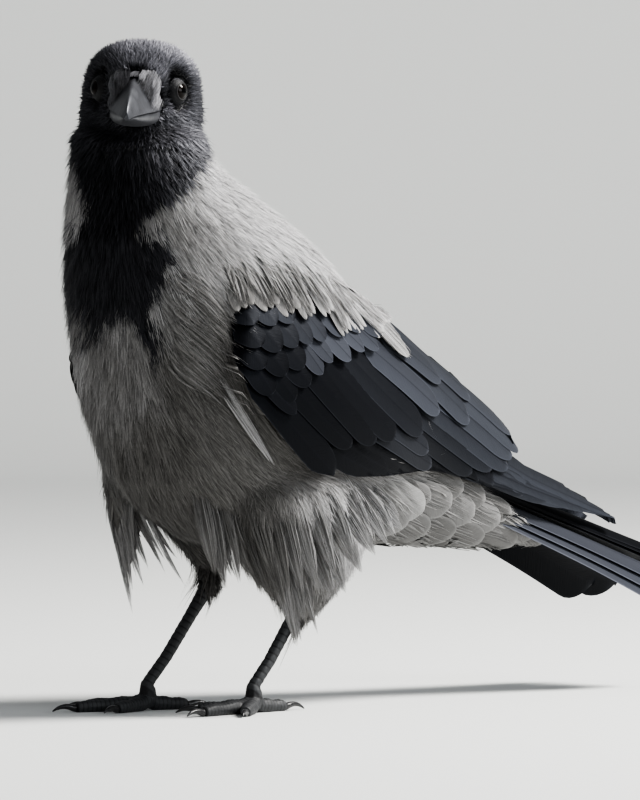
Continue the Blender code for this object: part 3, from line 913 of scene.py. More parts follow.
def coat_tree():
    """The tree that grows one layer. Its inputs are those of COAT_INPUTS."""
    tree = bpy.data.node_groups.new("coat", "GeometryNodeTree")
    for name, kind in COAT_INPUTS.items():
        tree.interface.new_socket(name, in_out="INPUT", socket_type="NodeSocket" + kind)
    tree.interface.new_socket("Geometry", in_out="OUTPUT", socket_type="NodeSocketGeometry")
    graph = Graph(tree)
    node = graph.add("NodeGroupInput")
    given = {name: graph.term(node, name) for name in COAT_INPUTS}

    def geo(kind, settings=None, output=0, **values):
        values = {name.replace("_", " "): value for name, value in values.items()}
        return graph.get("GeometryNode" + kind, settings, values, output)

    def named(kind, name):
        return geo("InputNamedAttribute", {"data_type": kind}, Name=name)

    def keep(geometry, name, kind, value, domain="POINT"):
        settings = {"data_type": kind, "domain": domain}
        return geo("StoreNamedAttribute", settings, Geometry=geometry, Name=name, Value=value)

    def chance(low, high, seed):
        values = {2: low, 3: high, "Seed": seed}
        return graph.get("FunctionNodeRandomValue", {"data_type": "FLOAT"}, values, 1)

    spacing, seed = given["Spacing"], given["Seed"]
    values = {"Mesh": given["Geometry"], "Distance Min": spacing, "Seed": seed}
    values |= {"Density Max": (spacing * spacing) ** -1 * 1.6, "Density Factor": named("FLOAT", given["Grow"])}
    scatter = graph.add("GeometryNodeDistributePointsOnFaces", {"distribute_method": "POISSON"}, values)
    roots, normal = graph.term(scatter, "Points"), graph.term(scatter, "Normal")
    turn = chance(-1.0, 1.0, seed + 1) * given["Mess"]
    values = {"Vector": named("FLOAT_VECTOR", "flow"), "Axis": normal, "Angle": turn}
    lie = graph.get("ShaderNodeVectorRotate", {"rotation_type": "AXIS_ANGLE"}, values)
    settings = {"primary_axis": "Z", "secondary_axis": "Y"}
    facing = graph.get("FunctionNodeAxesToRotation", settings, {0: normal, 1: lie})
    long = given["Length"] * named("FLOAT", "reach") * chance(0.78, 1.18, seed + 2)
    wide = given["Width"] * chance(0.8, 1.15, seed + 3) * (named("FLOAT", "reach") * 0.6 + 0.4)
    roots = keep(roots, "tone", "FLOAT", chance(0.0, 1.0, seed + 4))
    roots = keep(roots, "span", "FLOAT_VECTOR", graph.join(wide, long, 0.0))
    roots = keep(roots, "root_place", "FLOAT_VECTOR", named("FLOAT_VECTOR", "OFBake"))
    roots = geo("RemoveAttribute", Geometry=roots, Name="OFBake")
    settings = {"transform_space": "RELATIVE"}
    each = {"Separate_Children": True, "Reset_Children": True}
    feathers = geo("CollectionInfo", settings, Collection=given["Feathers"], **each)
    sizes = graph.join(wide, long, long)
    real = geo("InstanceOnPoints", Points=roots, Instance=feathers, Pick_Instance=True, Rotation=facing, Scale=sizes)
    real = geo("RealizeInstances", Geometry=real)

    onto = geo("ObjectInfo", None, "Geometry", Object=given["Onto"])
    settings = {"data_type": "FLOAT_VECTOR"}
    ground = geo("SampleNearestSurface", settings, Mesh=onto, Value=geo("InputPosition"))
    upright = geo("SampleNearestSurface", settings, Mesh=onto, Value=geo("InputNormal"))
    across, along, _ = graph.split(named("FLOAT_VECTOR", "vane"))
    tone = named("FLOAT", "tone")
    height = given["Rise"] * (along**1.2) * (tone * 0.5 + 0.75) - across * across * given["Camber"] - 0.0003
    laid = graph.vector("ADD", ground, graph.vector("SCALE", graph.vector("NORMALIZE", upright), Scale=height))
    real = geo("SetPosition", Geometry=real, Position=laid)
    patch = graph.join(across * (BAKE_PATCH / 2), along * BAKE_PATCH - BAKE_PATCH / 2)
    baked = graph.vector("ADD", named("FLOAT_VECTOR", "root_place"), patch)
    real = keep(real, "OFBake", "FLOAT2", baked, "CORNER")
    real = geo("RemoveAttribute", Geometry=real, Name="root_place")
    real = graph.get("GeometryNodeSetShadeSmooth", None, {0: real})
    real = geo("SetMaterial", Geometry=real, Material=given["Finish"])
    graph.add("NodeGroupOutput", None, {0: real})
    return tree


COAT = coat_tree()
print("coat tree", len(COAT.nodes), "nodes")

# %% Growing one layer
SKIN_ONLY = ("grow_", "flow", "reach", "dark", "plate", "leg")
DRAWN = 0.8


def trim(mesh, longest):
    """Take away the faces of feathers that were drawn across a gap to other skin."""
    ends = np.empty(len(mesh.edges) * 2, int)
    mesh.edges.foreach_get("vertices", ends)
    places = vertices(mesh)[ends.reshape(-1, 2)]
    drawn = np.linalg.norm(places[:, 0] - places[:, 1], axis=1) > longest

    def tear(shape):
        shape.edges.ensure_lookup_table()
        torn = {face for i in np.flatnonzero(drawn) for face in shape.edges[i].link_faces}
        bmesh.ops.delete(shape, geom=list(torn), context="FACES")

    if drawn.any():
        edit(mesh, tear)


def grow(name, where, feathers, finish, spacing, length, width, rise, mess, camber, seed):
    """One layer of the coat as a plain mesh. Sizes are in millimetres."""
    host = link(name + "_host", skin.data)
    layer = host.modifiers.new("coat", "NODES")
    layer.node_group = COAT
    sizes = {"Spacing": spacing, "Length": length, "Width": width, "Rise": rise, "Camber": camber}
    given = {socket: size * MM for socket, size in sizes.items()}
    given |= {"Feathers": feathers, "Onto": skin, "Grow": "grow_" + where, "Mess": mess, "Seed": seed}
    given["Finish"] = finish
    for socket in COAT.interface.items_tree:
        if socket.in_out == "INPUT" and socket.name in given:
            layer[socket.identifier] = given[socket.name]
    piece = plain(name, host)
    for attribute in [a.name for a in piece.data.attributes if a.name.startswith(SKIN_ONLY)]:
        piece.data.attributes.remove(piece.data.attributes[attribute])
    trim(piece.data, DRAWN * length * MM)
    return hand_over(piece, "hood_feather" if finish is HOOD else "ash_feather", finish)


# %% [markdown]
# ## The finish of feathers
# Barbs run off the shaft at a slant, so fine stripes along that slant, in tone and in relief, are what makes a
# sheet look like a vane. Ash feathers are soft and matt, paler at the edge and darker at the root. Black ones are
# glossy, and their gloss is blue to violet. Each finish also runs from darker colours in painted shade to paler
# ones in painted light, and on black feathers the pale bluish colour is a painted highlight.

# %% Finishes of the coat


def barbs(finish, slant=1.5, pitch=1.6):
    """Stripes along the barbs, 0 to 1, from the place on the vane and its size."""
    across, along, lock = finish.split(finish.attribute("vane"))
    wide, long, _ = finish.split(finish.attribute("span"))
    tone = finish.attribute("tone", "Fac")
    side = across * wide * 500
    reach = along * long * 1000
    line = reach - side.math("ABSOLUTE") * slant
    fine = finish.noise(finish.join(line * pitch, side * 0.22, tone * 40), 1.0, 2.0)
    return fine, across, along, tone, side, lock


def soft_finish(name, low, high, edge, rough, relief=0.35, rim_amount=0.2, **fixed):
    """Loose feathers. `low` and `high` are each the colours of a root and of a tip, in full painted shade and in full
    painted light.
    """
    finish = Finish(name, Roughness=rough, **fixed)
    fine, across, along, tone, _, lock = barbs(finish)
    shade = finish.attribute("shade", "Fac")
    streak = (fine - 0.5) * 0.7 + (tone - 0.5) * 0.35 + (lock - 0.5) * 0.6 + along * 0.5 + 0.22
    streak = streak.math("MULTIPLY", 1.0, clamp=True)
    painted_shading = finish.mix(streak, (*low[0], 1), (*low[1], 1))
    painted_lit_colour = finish.mix(streak, (*high[0], 1), (*high[1], 1))
    colour = finish.mix(shade, painted_shading, painted_lit_colour)
    rim = across.math("ABSOLUTE").ease(0.78, 1.0).math("MAXIMUM", along.ease(0.9, 1.0)) * rim_amount
    colour = finish.mix(rim, colour, (*edge, 1))
    normal = finish.bump(fine, relief, 0.0004)
    return finish.paint(Base_Color=colour, Normal=normal)


# Each finish has its colours in full painted shade and in full painted light. The browner ash colours are painted
# shade, and the pale bluish colours of the hood and the bristles are a painted highlight on black feathers.
ASH = soft_finish(
    "ash feather", ((0.034, 0.032, 0.030), (0.160, 0.155, 0.149)), ((0.17, 0.168, 0.168), (0.58, 0.572, 0.578)),
    edge=(0.50, 0.48, 0.46), rough=0.8, relief=0.45, Sheen_Weight=0.08,
)
TAIL_COVERT = soft_finish(
    "tail covert", ((0.032, 0.031, 0.029), (0.095, 0.092, 0.09)), ((0.14, 0.138, 0.137), (0.46, 0.455, 0.45)),
    edge=(0.32, 0.315, 0.31), rough=0.75, relief=0.3, rim_amount=0.4,
)
HOOD = soft_finish(
    "hood feather", ((0.003, 0.003, 0.0034), (0.017, 0.017, 0.020)), ((0.012, 0.012, 0.014), (0.36, 0.355, 0.392)),
    edge=(0.020, 0.020, 0.025), rough=0.45, relief=0.6, Specular_IOR_Level=0.3,
    Specular_Tint=(0.88, 0.91, 1.0, 1),
)
BRISTLES = soft_finish(
    "bristles", ((0.015, 0.015, 0.017), (0.08, 0.08, 0.088)), ((0.024, 0.024, 0.028), (0.36, 0.36, 0.385)),
    edge=(0.09, 0.09, 0.10), rough=0.5, relief=0.4,
)

# %% Finish of the skin
skin_finish = Finish("skin", Roughness=0.6)
is_dark = skin_finish.attribute("dark", "Fac")
grain = skin_finish.noise(skin_finish.get("ShaderNodeTexCoord", output="Object"), 900.0, 3.0)
under = skin_finish.mix(is_dark, (0.08, 0.076, 0.072, 1), (0.006, 0.006, 0.007, 1))
under = skin_finish.mix(grain * 0.3, under, (0.012, 0.012, 0.013, 1))
# Legs and feet are black horn plates, greyer on each plate and dark between two.
along_leg = (skin_finish.attribute("plate", "Fac") * pi).math("SINE").math("ABSOLUTE").ease(0.05, 0.6)
horny = skin_finish.mix(along_leg * (grain * 0.8 + 0.4), (0.014, 0.014, 0.015, 1), (0.048, 0.050, 0.053, 1))
under = skin_finish.mix(skin_finish.attribute("leg", "Fac"), under, horny)
SKIN = skin_finish.paint(Base_Color=under, Normal=skin_finish.bump(grain, 0.4, 0.0003))

# %% Grow the layers
LAYERS = (
    # name, place, pattern, finish, spacing, length, width, rise, mess, camber
    ("coat_crown", "crown", TUFT, HOOD, 0.78, 5.2, 2.1, 2.2, 0.45, 0.1),
    ("coat_cheek", "cheek", TUFT, HOOD, 1.1, 13.0, 2.0, 3.6, 0.25, 0.1),
    ("wisps_crown", "crown", BRISTLE, HOOD, 1.2, 5.5, 0.5, 3.0, 0.6, 0.0),
    ("coat_lids", "lids", BRISTLE, HOOD, 0.42, 2.0, 0.35, 0.7, 0.4, 0.0),
    ("coat_hackles", "hackles", HACKLE, HOOD, 1.6, 20.0, 4.0, 4.2, 0.18, 0.3),
    ("coat_bib", "bib", PLUME_FEATHER, HOOD, 2.2, 32.0, 8.5, 4.2, 0.18, 0.5),
    ("coat_mantle", "mantle", PLUME_FEATHER, ASH, 2.1, 25.0, 8.5, 3.8, 0.15, 0.5),
    ("coat_breast", "breast", PLUME_FEATHER, ASH, 2.0, 32.0, 9.5, 4.4, 0.20, 0.5),
    ("coat_belly", "belly", PLUME_FEATHER, ASH, 2.0, 36.0, 9.5, 4.4, 0.22, 0.5),
    ("coat_vent", "vent", PLUME_FEATHER, TAIL_COVERT, 3.0, 26.0, 10.0, 1.2, 0.15, 0.5),
    ("coat_thighs", "thighs", PLUME_FEATHER, ASH, 1.9, 34.0, 7.0, 4.6, 0.24, 0.4),
    ("coat_boots", "boots", PLUME_FEATHER, HOOD, 2.0, 14.0, 4.0, 2.4, 0.2, 0.4),
    ("wisps_mantle", "mantle", WISP, ASH, 1.3, 17.0, 0.55, 4.6, 0.25, 0.0),
    ("wisps_breast", "breast", WISP, ASH, 1.15, 20.0, 0.55, 5.2, 0.35, 0.0),
    ("wisps_belly", "belly", WISP, ASH, 1.3, 24.0, 0.55, 5.2, 0.4, 0.0),
    ("wisps_thighs", "thighs", WISP, ASH, 1.4, 17.0, 0.55, 6.0, 0.45, 0.0),
    ("wisps_bib", "bib", WISP, HOOD, 1.5, 22.0, 0.7, 5.0, 0.3, 0.0),
    ("wisps_hackles", "hackles", WISP, HOOD, 1.0, 15.0, 0.55, 5.2, 0.3, 0.0),
)
coat_total = sum(grow(*layer, seed=10 * i + 1) for i, layer in enumerate(LAYERS))
print("coat", coat_total, "triangles")

# %% Hand over the skin
hand_over(skin, "ash_feather", SKIN, ["head", "neck", "trunk", "thigh_left", "thigh_right"] + LEG_FLESH)

# %% [markdown]
# ## Loose strands
# Bristles, and the long feathers that hang free of the body, don't lie on a surface. Each is a thin ribbon along
# a curve of three control points, and a hanging feather is a fan of them from one root.

# %% Ribbons along curves
# A strand takes its place on the bake map from the point of the skin that is nearest to its root.
STRAND_ROWS = 7
skin_places = to_bird(vertices(skin.data))
SKIN_TREE = KDTree(len(skin_places))
for i, place in enumerate(skin_places):
    SKIN_TREE.insert(place, i)
SKIN_TREE.balance()
unwrap = np.empty(2 * len(skin.data.loops))
skin.data.uv_layers["OFBake"].uv.foreach_get("vector", unwrap)
SKIN_UV = np.zeros((len(skin_places), 2))
SKIN_UV[corners_of(skin.data)] = unwrap.reshape(-1, 2)


def label(thing, vane, span, tone, shade, places):
    """Give each point what the finishes read, and its place on the bake map."""
    store(thing.data, "vane", vane, "FLOAT_VECTOR")
    store(thing.data, "span", span, "FLOAT_VECTOR")
    store(thing.data, "tone", tone)
    store(thing.data, "shade", shade)
    corners = corners_of(thing.data)
    thing.data.uv_layers.new(name="OFBake").uv.foreach_set("vector", places[corners].ravel())


def strands(name, curves, widths, outs, painted_lights_and_tones):
    """Ribbons as one mesh. `curves` holds a root, a middle and a tip for each, and `outs` the way it faces."""
    curves, widths, outs = np.array(curves, float), np.array(widths, float), unit(np.array(outs, float))
    count = len(curves)
    t = np.linspace(0, 1, STRAND_ROWS)[None, :, None]
    root, middle, tip = (curves[:, None, i] for i in range(3))
    line = root * (1 - t) ** 2 + middle * 2 * t * (1 - t) + tip * t**2
    along = unit((middle - root) * (1 - t) + (tip - middle) * t)
    side = unit(np.cross(along, outs[:, None]))
    half = widths[:, None, None] / 2 * (0.06 + 0.94 * np.clip(t * 8, 0.4, 1) * (1 - t**2.2) ** 0.8)
    points = np.stack([line - side * half, line + side * half], 2).reshape(-1, 3)
    one = grid_faces(STRAND_ROWS, 2)[:, ::-1]
    faces = (one[None] + 2 * STRAND_ROWS * np.arange(count)[:, None, None]).reshape(-1, 4)
    sample = points[faces[0]]
    if np.cross(sample[1] - sample[0], sample[2] - sample[0]) @ outs[0] < 0:
        faces = faces[:, ::-1]
    thing = from_arrays(name, points, faces)
    across = np.tile([-1.0, 1.0], count * STRAND_ROWS)
    along = np.tile(np.repeat(t.ravel(), 2), count)
    lock = np.repeat(rng.random(count), 2 * STRAND_ROWS)
    span = np.column_stack([widths, np.linalg.norm(curves[:, 2] - curves[:, 0], axis=1), widths * 0]) * MM
    roots = SKIN_UV[[SKIN_TREE.find(Vector(root))[1] for root in curves[:, 0]]]
    patch = np.stack([across / 2, along - 0.5], 1) * BAKE_PATCH
    each = (span, rng.random(count), np.clip(painted_lights_and_tones, 0, 1), roots)
    span, tone, shade, roots = (np.repeat(values, 2 * STRAND_ROWS, axis=0) for values in each)
    label(thing, np.column_stack([across, along, lock]), span, tone, shade, roots + patch)
    return thing


# %% Fans of strands
STRANDS_PER_MM = 13
THINNEST, THICKEST = 0.18, 0.42
FLESH = tree_of(BODY_FLESH)
BESIDE = 400
SEEN_FACING = unit(SEEN_NEAR + (0, 0, 0.2))


def seen(across, height):
    """The outermost flesh from the bird's front left, so far across and up."""
    start = SEEN_RIGHT * across + SEEN_NEAR * BESIDE + (0, 0, height)
    hit = FLESH.ray_cast(Vector(start), Vector(-SEEN_NEAR))
    return np.array(hit[0]) if hit[0] else None


def hanging(name, feathers, shape):
    """Fans of strands. `shape` gives a feather's root, tip, width, painted light and the way that it faces."""
    curves, widths, outs, painted_lights_and_tones = [], [], [], []
    for feather in feathers:
        root, tip, wide, shade, out = shape(*feather)
        line = tip - root
        side = unit(np.cross(line, out))
        for c in rng.uniform(-1, 1, int(wide * STRANDS_PER_MM)):
            start = root + side * c * wide * 0.4 + line * rng.uniform(-0.15, 0.3) - out * 3.0
            end = root + line * (1 - 0.18 * c * c - rng.exponential(0.07)) + side * c * wide * 0.22
            middle = (start + end) / 2 + side * c * wide * 0.42 + out * rng.uniform(1.0, 3.5)
            curves.append((start, middle, end))
            outs.append(out + rng.normal(0, 0.5, 3))
            widths.append(rng.uniform(THINNEST, THICKEST))
            # Each strand is painted a little darker than its feather, as painted shade, and varies at random.
            painted_lights_and_tones.append(shade - 0.15 + rng.normal(0, 0.12))
    hand_over(strands(name, curves, widths, outs, painted_lights_and_tones), "ash_feather", ASH)


# %% The plume over the right thigh
PLUME = (
    # root across and up, tip across and up, width, painted light, how far back it lies
    (-45.7, 119.5, -31, 45.7, 7, 0.95, -12),
    (-44.3, 115.7, -31.4, 51.4, 6, 0.90, -6),
    (-42.4, 113.3, -25.7, 59.5, 7, 0.95, -10),
    (-44.8, 118.1, -34.8, 58.6, 5, 0.80, -2),
    (-40.5, 111, -23.3, 67.1, 6, 0.80, -6),
    (-39.5, 115.7, -14.8, 66.2, 4, 0.50, -14),
    (-37.6, 111, -18.6, 72.9, 5, 0.70, -12),
    (-46.2, 122.9, -38.6, 72.9, 5, 0.80, -8),
    (-34.3, 103.8, -15.2, 72.9, 4, 0.65, -14),
    (-27.1, 96.7, -5.2, 60.5, 2.5, 1.00, -16),
    (-29.5, 99, -9, 72.9, 3, 0.70, -10),
    (-44.8, 122.9, -41.4, 87.1, 5, 0.85, -10),
    (-36.7, 115.7, -27.1, 72.9, 6, 0.90, -14),
    (-32.9, 111, -22.4, 77.6, 6, 0.70, -4),
    (-41, 118, -31.5, 60, 8, 0.75, -16),
    (-42, 120, -34, 66, 8, 0.75, -15),
    (-39, 116, -29, 64, 8, 0.7, -17),
    (-38, 108, -31, 57, 6, 0.75, -16),
    (-40, 126, -34, 84, 8, 0.6, -18),
    (-37, 122, -30, 80, 8, 0.6, -18),
    (-42, 128, -33, 88, 8, 0.70, -15),
    (-36, 126, -24, 88, 8, 0.65, -17),
    (-46, 128, -40, 92, 8, 0.75, -4),
    (-40, 124, -30, 80, 8, 0.70, 2),
)


def plume_feather(across, up, tip_across, tip_up, wide, shade, y):
    root = np.array((across / DIAGONAL - y, y, up))
    tip = np.array((tip_across / DIAGONAL - y - 1, y + 1, tip_up))
    return root, tip, wide, shade, unit(np.array((-0.15, -1, 0.1)))


hanging("coat_plume", PLUME, plume_feather)

# %% The skirt over the belly and the left thigh, and one feather on the flank
SKIRT = (
    # root across and up, tip across and up, width, painted light
    (1.4, 106, 9, 67, 8, 0.35),
    (6.2, 101, 13.8, 61, 8, 0.35),
    (11.9, 99, 20.5, 63, 8, 0.35),
    (16.7, 97, 26, 64, 8, 0.3),
    (8.6, 92, 16.7, 66, 7, 0.3),
    (21, 94, 31, 58, 7, 0.1),
    (25, 92, 36, 55, 8, 0.12),
    (31, 90, 42, 51, 8, 0.2),
    (36, 87, 47.6, 33, 8, 0.6),
    (39.5, 80, 49.5, 35, 7, 0.6),
    (42, 82, 52, 43, 7, 0.55),
    (45, 82, 57.6, 38.6, 4, 0.5),
    (49, 82, 55, 48, 8, 0.55),
    (54, 85, 65, 54, 8, 0.6),
    (59.5, 87, 71, 57.6, 8, 0.65),
    (66, 92, 78.6, 67, 8, 0.7),
    (70.5, 99, 85, 75, 8, 0.8),
    (75, 106, 91, 80, 8, 0.85),
    (78.6, 105, 95, 83, 9, 0.95),
    (80, 103, 98, 87, 9, 1.0),
    (82, 105, 97, 92, 8, 0.95),
    (20.5, 101, 27.6, 73, 7, 0.12),
    (27.6, 101, 37, 66, 8, 0.15),
    (34, 99, 44, 58.6, 8, 0.25),
    (40.5, 99, 50.5, 58.6, 8, 0.5),
    (47, 99, 57.6, 58.6, 8, 0.55),
    (55, 101, 66, 66, 8, 0.65),
    (62, 105, 75, 73, 8, 0.75),
    (69, 111, 83, 85, 8, 0.85),
)


def skirt_feather(across, up, tip_across, tip_up, wide, shade):
    root = seen(across, up)
    root = SEEN_RIGHT * across + (0, 0, up) if root is None else root
    near = root @ SEEN_NEAR
    tip = SEEN_RIGHT * tip_across + SEEN_NEAR * (near - 1.5) + (0, 0, tip_up)
    return root, tip, wide, shade, SEEN_FACING


hanging("coat_skirt", SKIRT, skirt_feather)


def flank_feather(across, up, tip_across, tip_up, wide, shade):
    """A single pale feather that lies over the flank in front of the wing."""
    root, tip = seen(across, up) + SEEN_NEAR * 3.5, seen(tip_across, tip_up) + SEEN_NEAR * 4.5
    return root, tip, wide, shade, SEEN_FACING


hanging("coat_flank", ((14.5, 157, 38, 118, 3.2, 1.0), (16, 150, 35, 121, 2.4, 0.9)), flank_feather)

# %% [markdown]
# ## The closed wing
# A closed wing is a fan of long quills folded under rows of shorter ones, like tiles. Each feather here is a
# curved vane laid on one smooth wing surface: its shaft is a bent line in side view, and every point of it is
# cast sideways on the surface, then raised by how far up the pile it lies.

# %% The wing's surface
WING = (
    # top edge, bottom edge, bulge between them, from the shoulder back
    ((50, -27, 190), (55, -30, 172), 1.5),
    ((54, -15, 201), (60, -28, 148), 5),
    ((54, 12, 206), (61, -8, 124), 11),
    ((46, 52, 203), (60, 30, 114), 16),
    ((30, 98, 188), (55, 72, 112), 19),
    ((15, 140, 169), (45, 117, 113), 17),
    ((9, 178, 149), (36, 160, 105), 12),
    ((8, 198, 135), (30, 186, 100), 8),
    ((9, 211, 121), (24, 202, 99), 4),
)
PRIMARIES = (
    # the same, for the long tip
    ((12, 152, 146), (37, 146, 112), 9),
    ((9, 178, 136), (33, 172, 103), 8),
    ((7, 208, 122), (27, 200, 96), 6),
    ((7, 238, 108), (20, 232, 90), 4),
    ((8, 264, 94), (14, 262, 84), 2),
    ((9, 281, 84), (11, 282, 81), 0.5),
)


def blade(stations, steps=8, rows=20):
    """The outer face of a blade as a grid of points."""
    rings = between([(*top, *bottom, bulge) for top, bottom, bulge in stations], steps)
    along = np.gradient(rings[:, :3] + rings[:, 3:6], axis=0)
    out = unit(np.cross(rings[:, 3:6] - rings[:, :3], along))
    out *= np.where(out[:, :1] > 0, 1, -1)
    t = np.linspace(0, 1, rows)[None, :, None]
    top, bottom = rings[:, None, :3], rings[:, None, 3:6]
    middle = (top + bottom) / 2 + (out * rings[:, 6:7])[:, None]
    return top * (1 - t) ** 2 + middle * 2 * t * (1 - t) + bottom * t**2


def surface_tree(grids):
    points, faces = [], []
    for grid in grids:
        faces += grid_faces(grid.shape[0], grid.shape[1], len(points)).tolist()
        points += grid.reshape(-1, 3).tolist()
    return BVHTree.FromPolygons(points, faces)


WING_SURFACE = surface_tree([blade(WING), blade(PRIMARIES)])


def sideways(tree, y, z, near=30):
    """Place and normal of the tree's left face at this place in side view, or of its nearest edge."""
    hit = tree.ray_cast(Vector((200, y, z)), Vector((-1, 0, 0)))
    return (hit if hit[0] is not None else tree.find_nearest(Vector((near, y, z))))[:2]


def on_wing(y, z):
    """The left wing's outer face at this place in side view, or its edge, and the way that it faces."""
    place, out = sideways(WING_SURFACE, y, z)
    return place, out if out.x > 0 else -out


SIDE_SURFACE = tree_of(("trunk", "neck", "thigh_left", "wing_left"))


def on_side(y, z):
    """As on_wing, for the whole side of the bird."""
    place, out = on_wing(y, z)
    hit = SIDE_SURFACE.ray_cast(Vector((200, y, z)), Vector((-1, 0, 0)))
    if hit[0] is None:
        return SIDE_SURFACE.find_nearest(Vector((30, y, z)))[:2]
    # Beside the wing, or where the body stands out from it, the feather lies on the body.
    if hit[0].x > place.x + 0.2 or abs(place.y - y) + abs(place.z - z) > 0.1:
        place, out = hit[0], Vector((0.9, 0, 0.35)).normalized()
    return place, out


# %% Vanes on a surface
ROWS, COLUMNS = 20, 9
CROWD_TO_EDGE = 1.25


def outline(t, blunt=0.22, point=2.0):
    """Share of the full width along a vane: narrow at the root, and rounded or pointed at the tip."""
    root = np.clip(t / 0.14, 0.05, 1) ** 0.5
    end = np.clip((t - (1 - blunt)) / blunt, 0, 1)
    return root * np.clip(1 - end**point, 0, 1) ** (1 / point)


def uphill(line):
    """The way across a line in side view, towards the top."""
    side = np.array((-line[1], line[0])) / np.linalg.norm(line)
    return side * (1 if side[1] > 0 else -1)


class Vanes:
    """Feathers gathered into one mesh, each with its own cell of the bake map."""

    def __init__(self, locate):
        self.locate = locate
        self.points, self.vane, self.span, self.tone, self.shade = [], [], [], [], []
        self.faces, self.cell = [], []
        self.count = 0

    def add(
        self, root, tip, upper, lower, deep=(-2.0, 0.0), bow=0.0, tilt=0.5, blunt=0.22, point=2.0, camber=0.5,
        bloom=0.0, shade=None, rows=ROWS, columns=COLUMNS, shaft=0.28,
    ):
        """One vane from root to tip, so wide above and below its shaft, lifted by `deep` at root and tip."""
        root, tip = np.array(root, float), np.array(tip, float)
        line = tip - root
        long, side = np.linalg.norm(line), uphill(line)
        t = np.sin(np.linspace(0, pi / 2, rows))
        c = np.linspace(-1, 1, columns)
        c = np.sign(c) * np.abs(c) ** CROWD_TO_EDGE
        width = outline(t, blunt, point)
        jitter = 0.3 * rng.uniform(-0.35, 0.35)
        start = len(self.points)
        for ti, wi in zip(t, width):
            middle = root + line * ti + side * (bow * 4 * ti * (1 - ti))
            for ci in c:
                reach = upper if ci > 0 else lower
                y, z = middle + side * ci * reach * wi
                place, out = self.locate(y, z)
                lift = deep[0] + (deep[1] - deep[0]) * ti**0.8 - tilt * ci - camber * ci * ci + jitter
                lift += shaft * np.exp(-((ci * reach * wi / 0.7) ** 2)) * (1 - ti) ** 0.5
                self.points.append(place + out * lift)
                self.vane.append((ci, ti, bloom))
                self.span.append(((upper + lower) * MM * max(wi, 0.05), long * MM, 0))
        self.faces.append(grid_faces(rows, columns, start))
        self.tone += [rng.random()] * (rows * columns)
        # Without painted light of its own, a wing feather is painted darkest low in front and lightest high at the
        # back, as painted shade and painted light.
        feather_painted_light = 0.03 + 0.97 * float(ease(0.0075 * tip[0] + 0.018 * tip[1], 2.95, 3.6)) if shade is None else shade
        self.shade += [feather_painted_light] * (rows * columns)
        self.cell += [self.count] * (rows * columns)
        self.count += 1

    def rows(self, count, first, last, **shape):
        """Feathers between the first and the last, each as (root, tip, upper width, lower width)."""
        first, last = np.array(first, float), np.array(last, float)
        for i in range(count):
            share = i / max(count - 1, 1)
            ry, rz, ty, tz, upper, lower = first + (last - first) * share
            ty += rng.uniform(-1.2, 1.2)
            tz += rng.uniform(-0.8, 0.8)
            self.add((ry, rz), (ty, tz), upper, lower, **shape)

    def locks(self, count, root, tip, wide, deep=(0.0, 2.0), width=1.0, fray=0.2, round_tip=0.5, bow=0.0, shade=0.6):
        """A loose feather: narrow locks side by side, `wide` across in all, with a frayed round end."""
        root, tip = np.array(root, float), np.array(tip, float)
        line = tip - root
        side = uphill(line)
        for i in rng.permutation(count):
            across = (2 * i + 1) / count - 1 + rng.uniform(-0.12, 0.12)
            reach = 1 - round_tip * across**2 + rng.uniform(-fray, 0.3 * fray)
            start = root + side * across * wide * 0.25 + line * rng.uniform(0, 0.12)
            end = root + line * reach + side * across * wide * 0.5 * (1 - 0.35 * round_tip)
            lift = (deep[0] + rng.uniform(-0.4, 0.4), deep[1] * (1 - 0.3 * across**2) + rng.uniform(-0.7, 0.7))
            half = width * rng.uniform(0.7, 1.3)
            # Each lock's painted light varies a little round the feather's.
            tone = float(np.clip(shade + rng.uniform(-0.22, 0.22), 0, 1))
            shape = {"blunt": 0.6, "point": 1.1, "camber": 0.1, "tilt": 0.1, "bloom": rng.random(), "shaft": 0.0}
            self.add(
                start, end, half, half, deep=lift, bow=bow + rng.uniform(-0.8, 0.8) + across * 1.5,
                shade=tone, rows=9, columns=3, **shape,
            )

    def pair(self, name):
        """The same feathers on both sides of the bird."""
        self.make(name + "_left")
        self.make(name + "_right", mirrored=True)
        print(name, self.count, "on each side")

    def make(self, name, mirrored=False):
        points = np.array(self.points)
        faces = np.concatenate(self.faces)
        sample = points[faces[len(faces) // 2]]
        if np.cross(sample[1] - sample[0], sample[2] - sample[0])[0] < 0:
            faces = faces[:, ::-1]
        if mirrored:
            points = points * (-1, 1, 1)
            faces = faces[:, ::-1]
        thing = from_arrays(name, points, faces)
        vane, cell = np.array(self.vane), np.array(self.cell)
        cells = int(np.ceil(np.sqrt(self.count)))
        corner = np.stack([cell % cells, cell // cells], 1)
        inside = np.stack([vane[:, 0] * 0.5 + 0.5, vane[:, 1]], 1) * 0.92 + 0.04
        places = (corner + inside) / (cells, np.ceil(self.count / cells))
        label(thing, vane, self.span, self.tone, self.shade, places)
        return thing


# %% [markdown]
# ## The finish of flight feathers
# Their vanes are tight, so the barbs show as fine slanting lines with a satin gloss. A thin paler edge sets each
# feather off from the next, and the shaft is a dark glossy ridge. Each vane is also painted darker towards its upper
# side and its root, as painted shade, and a feather's painted light and bluish painted sheen make it paler as a
# whole.

# %% Finish of quills and coverts


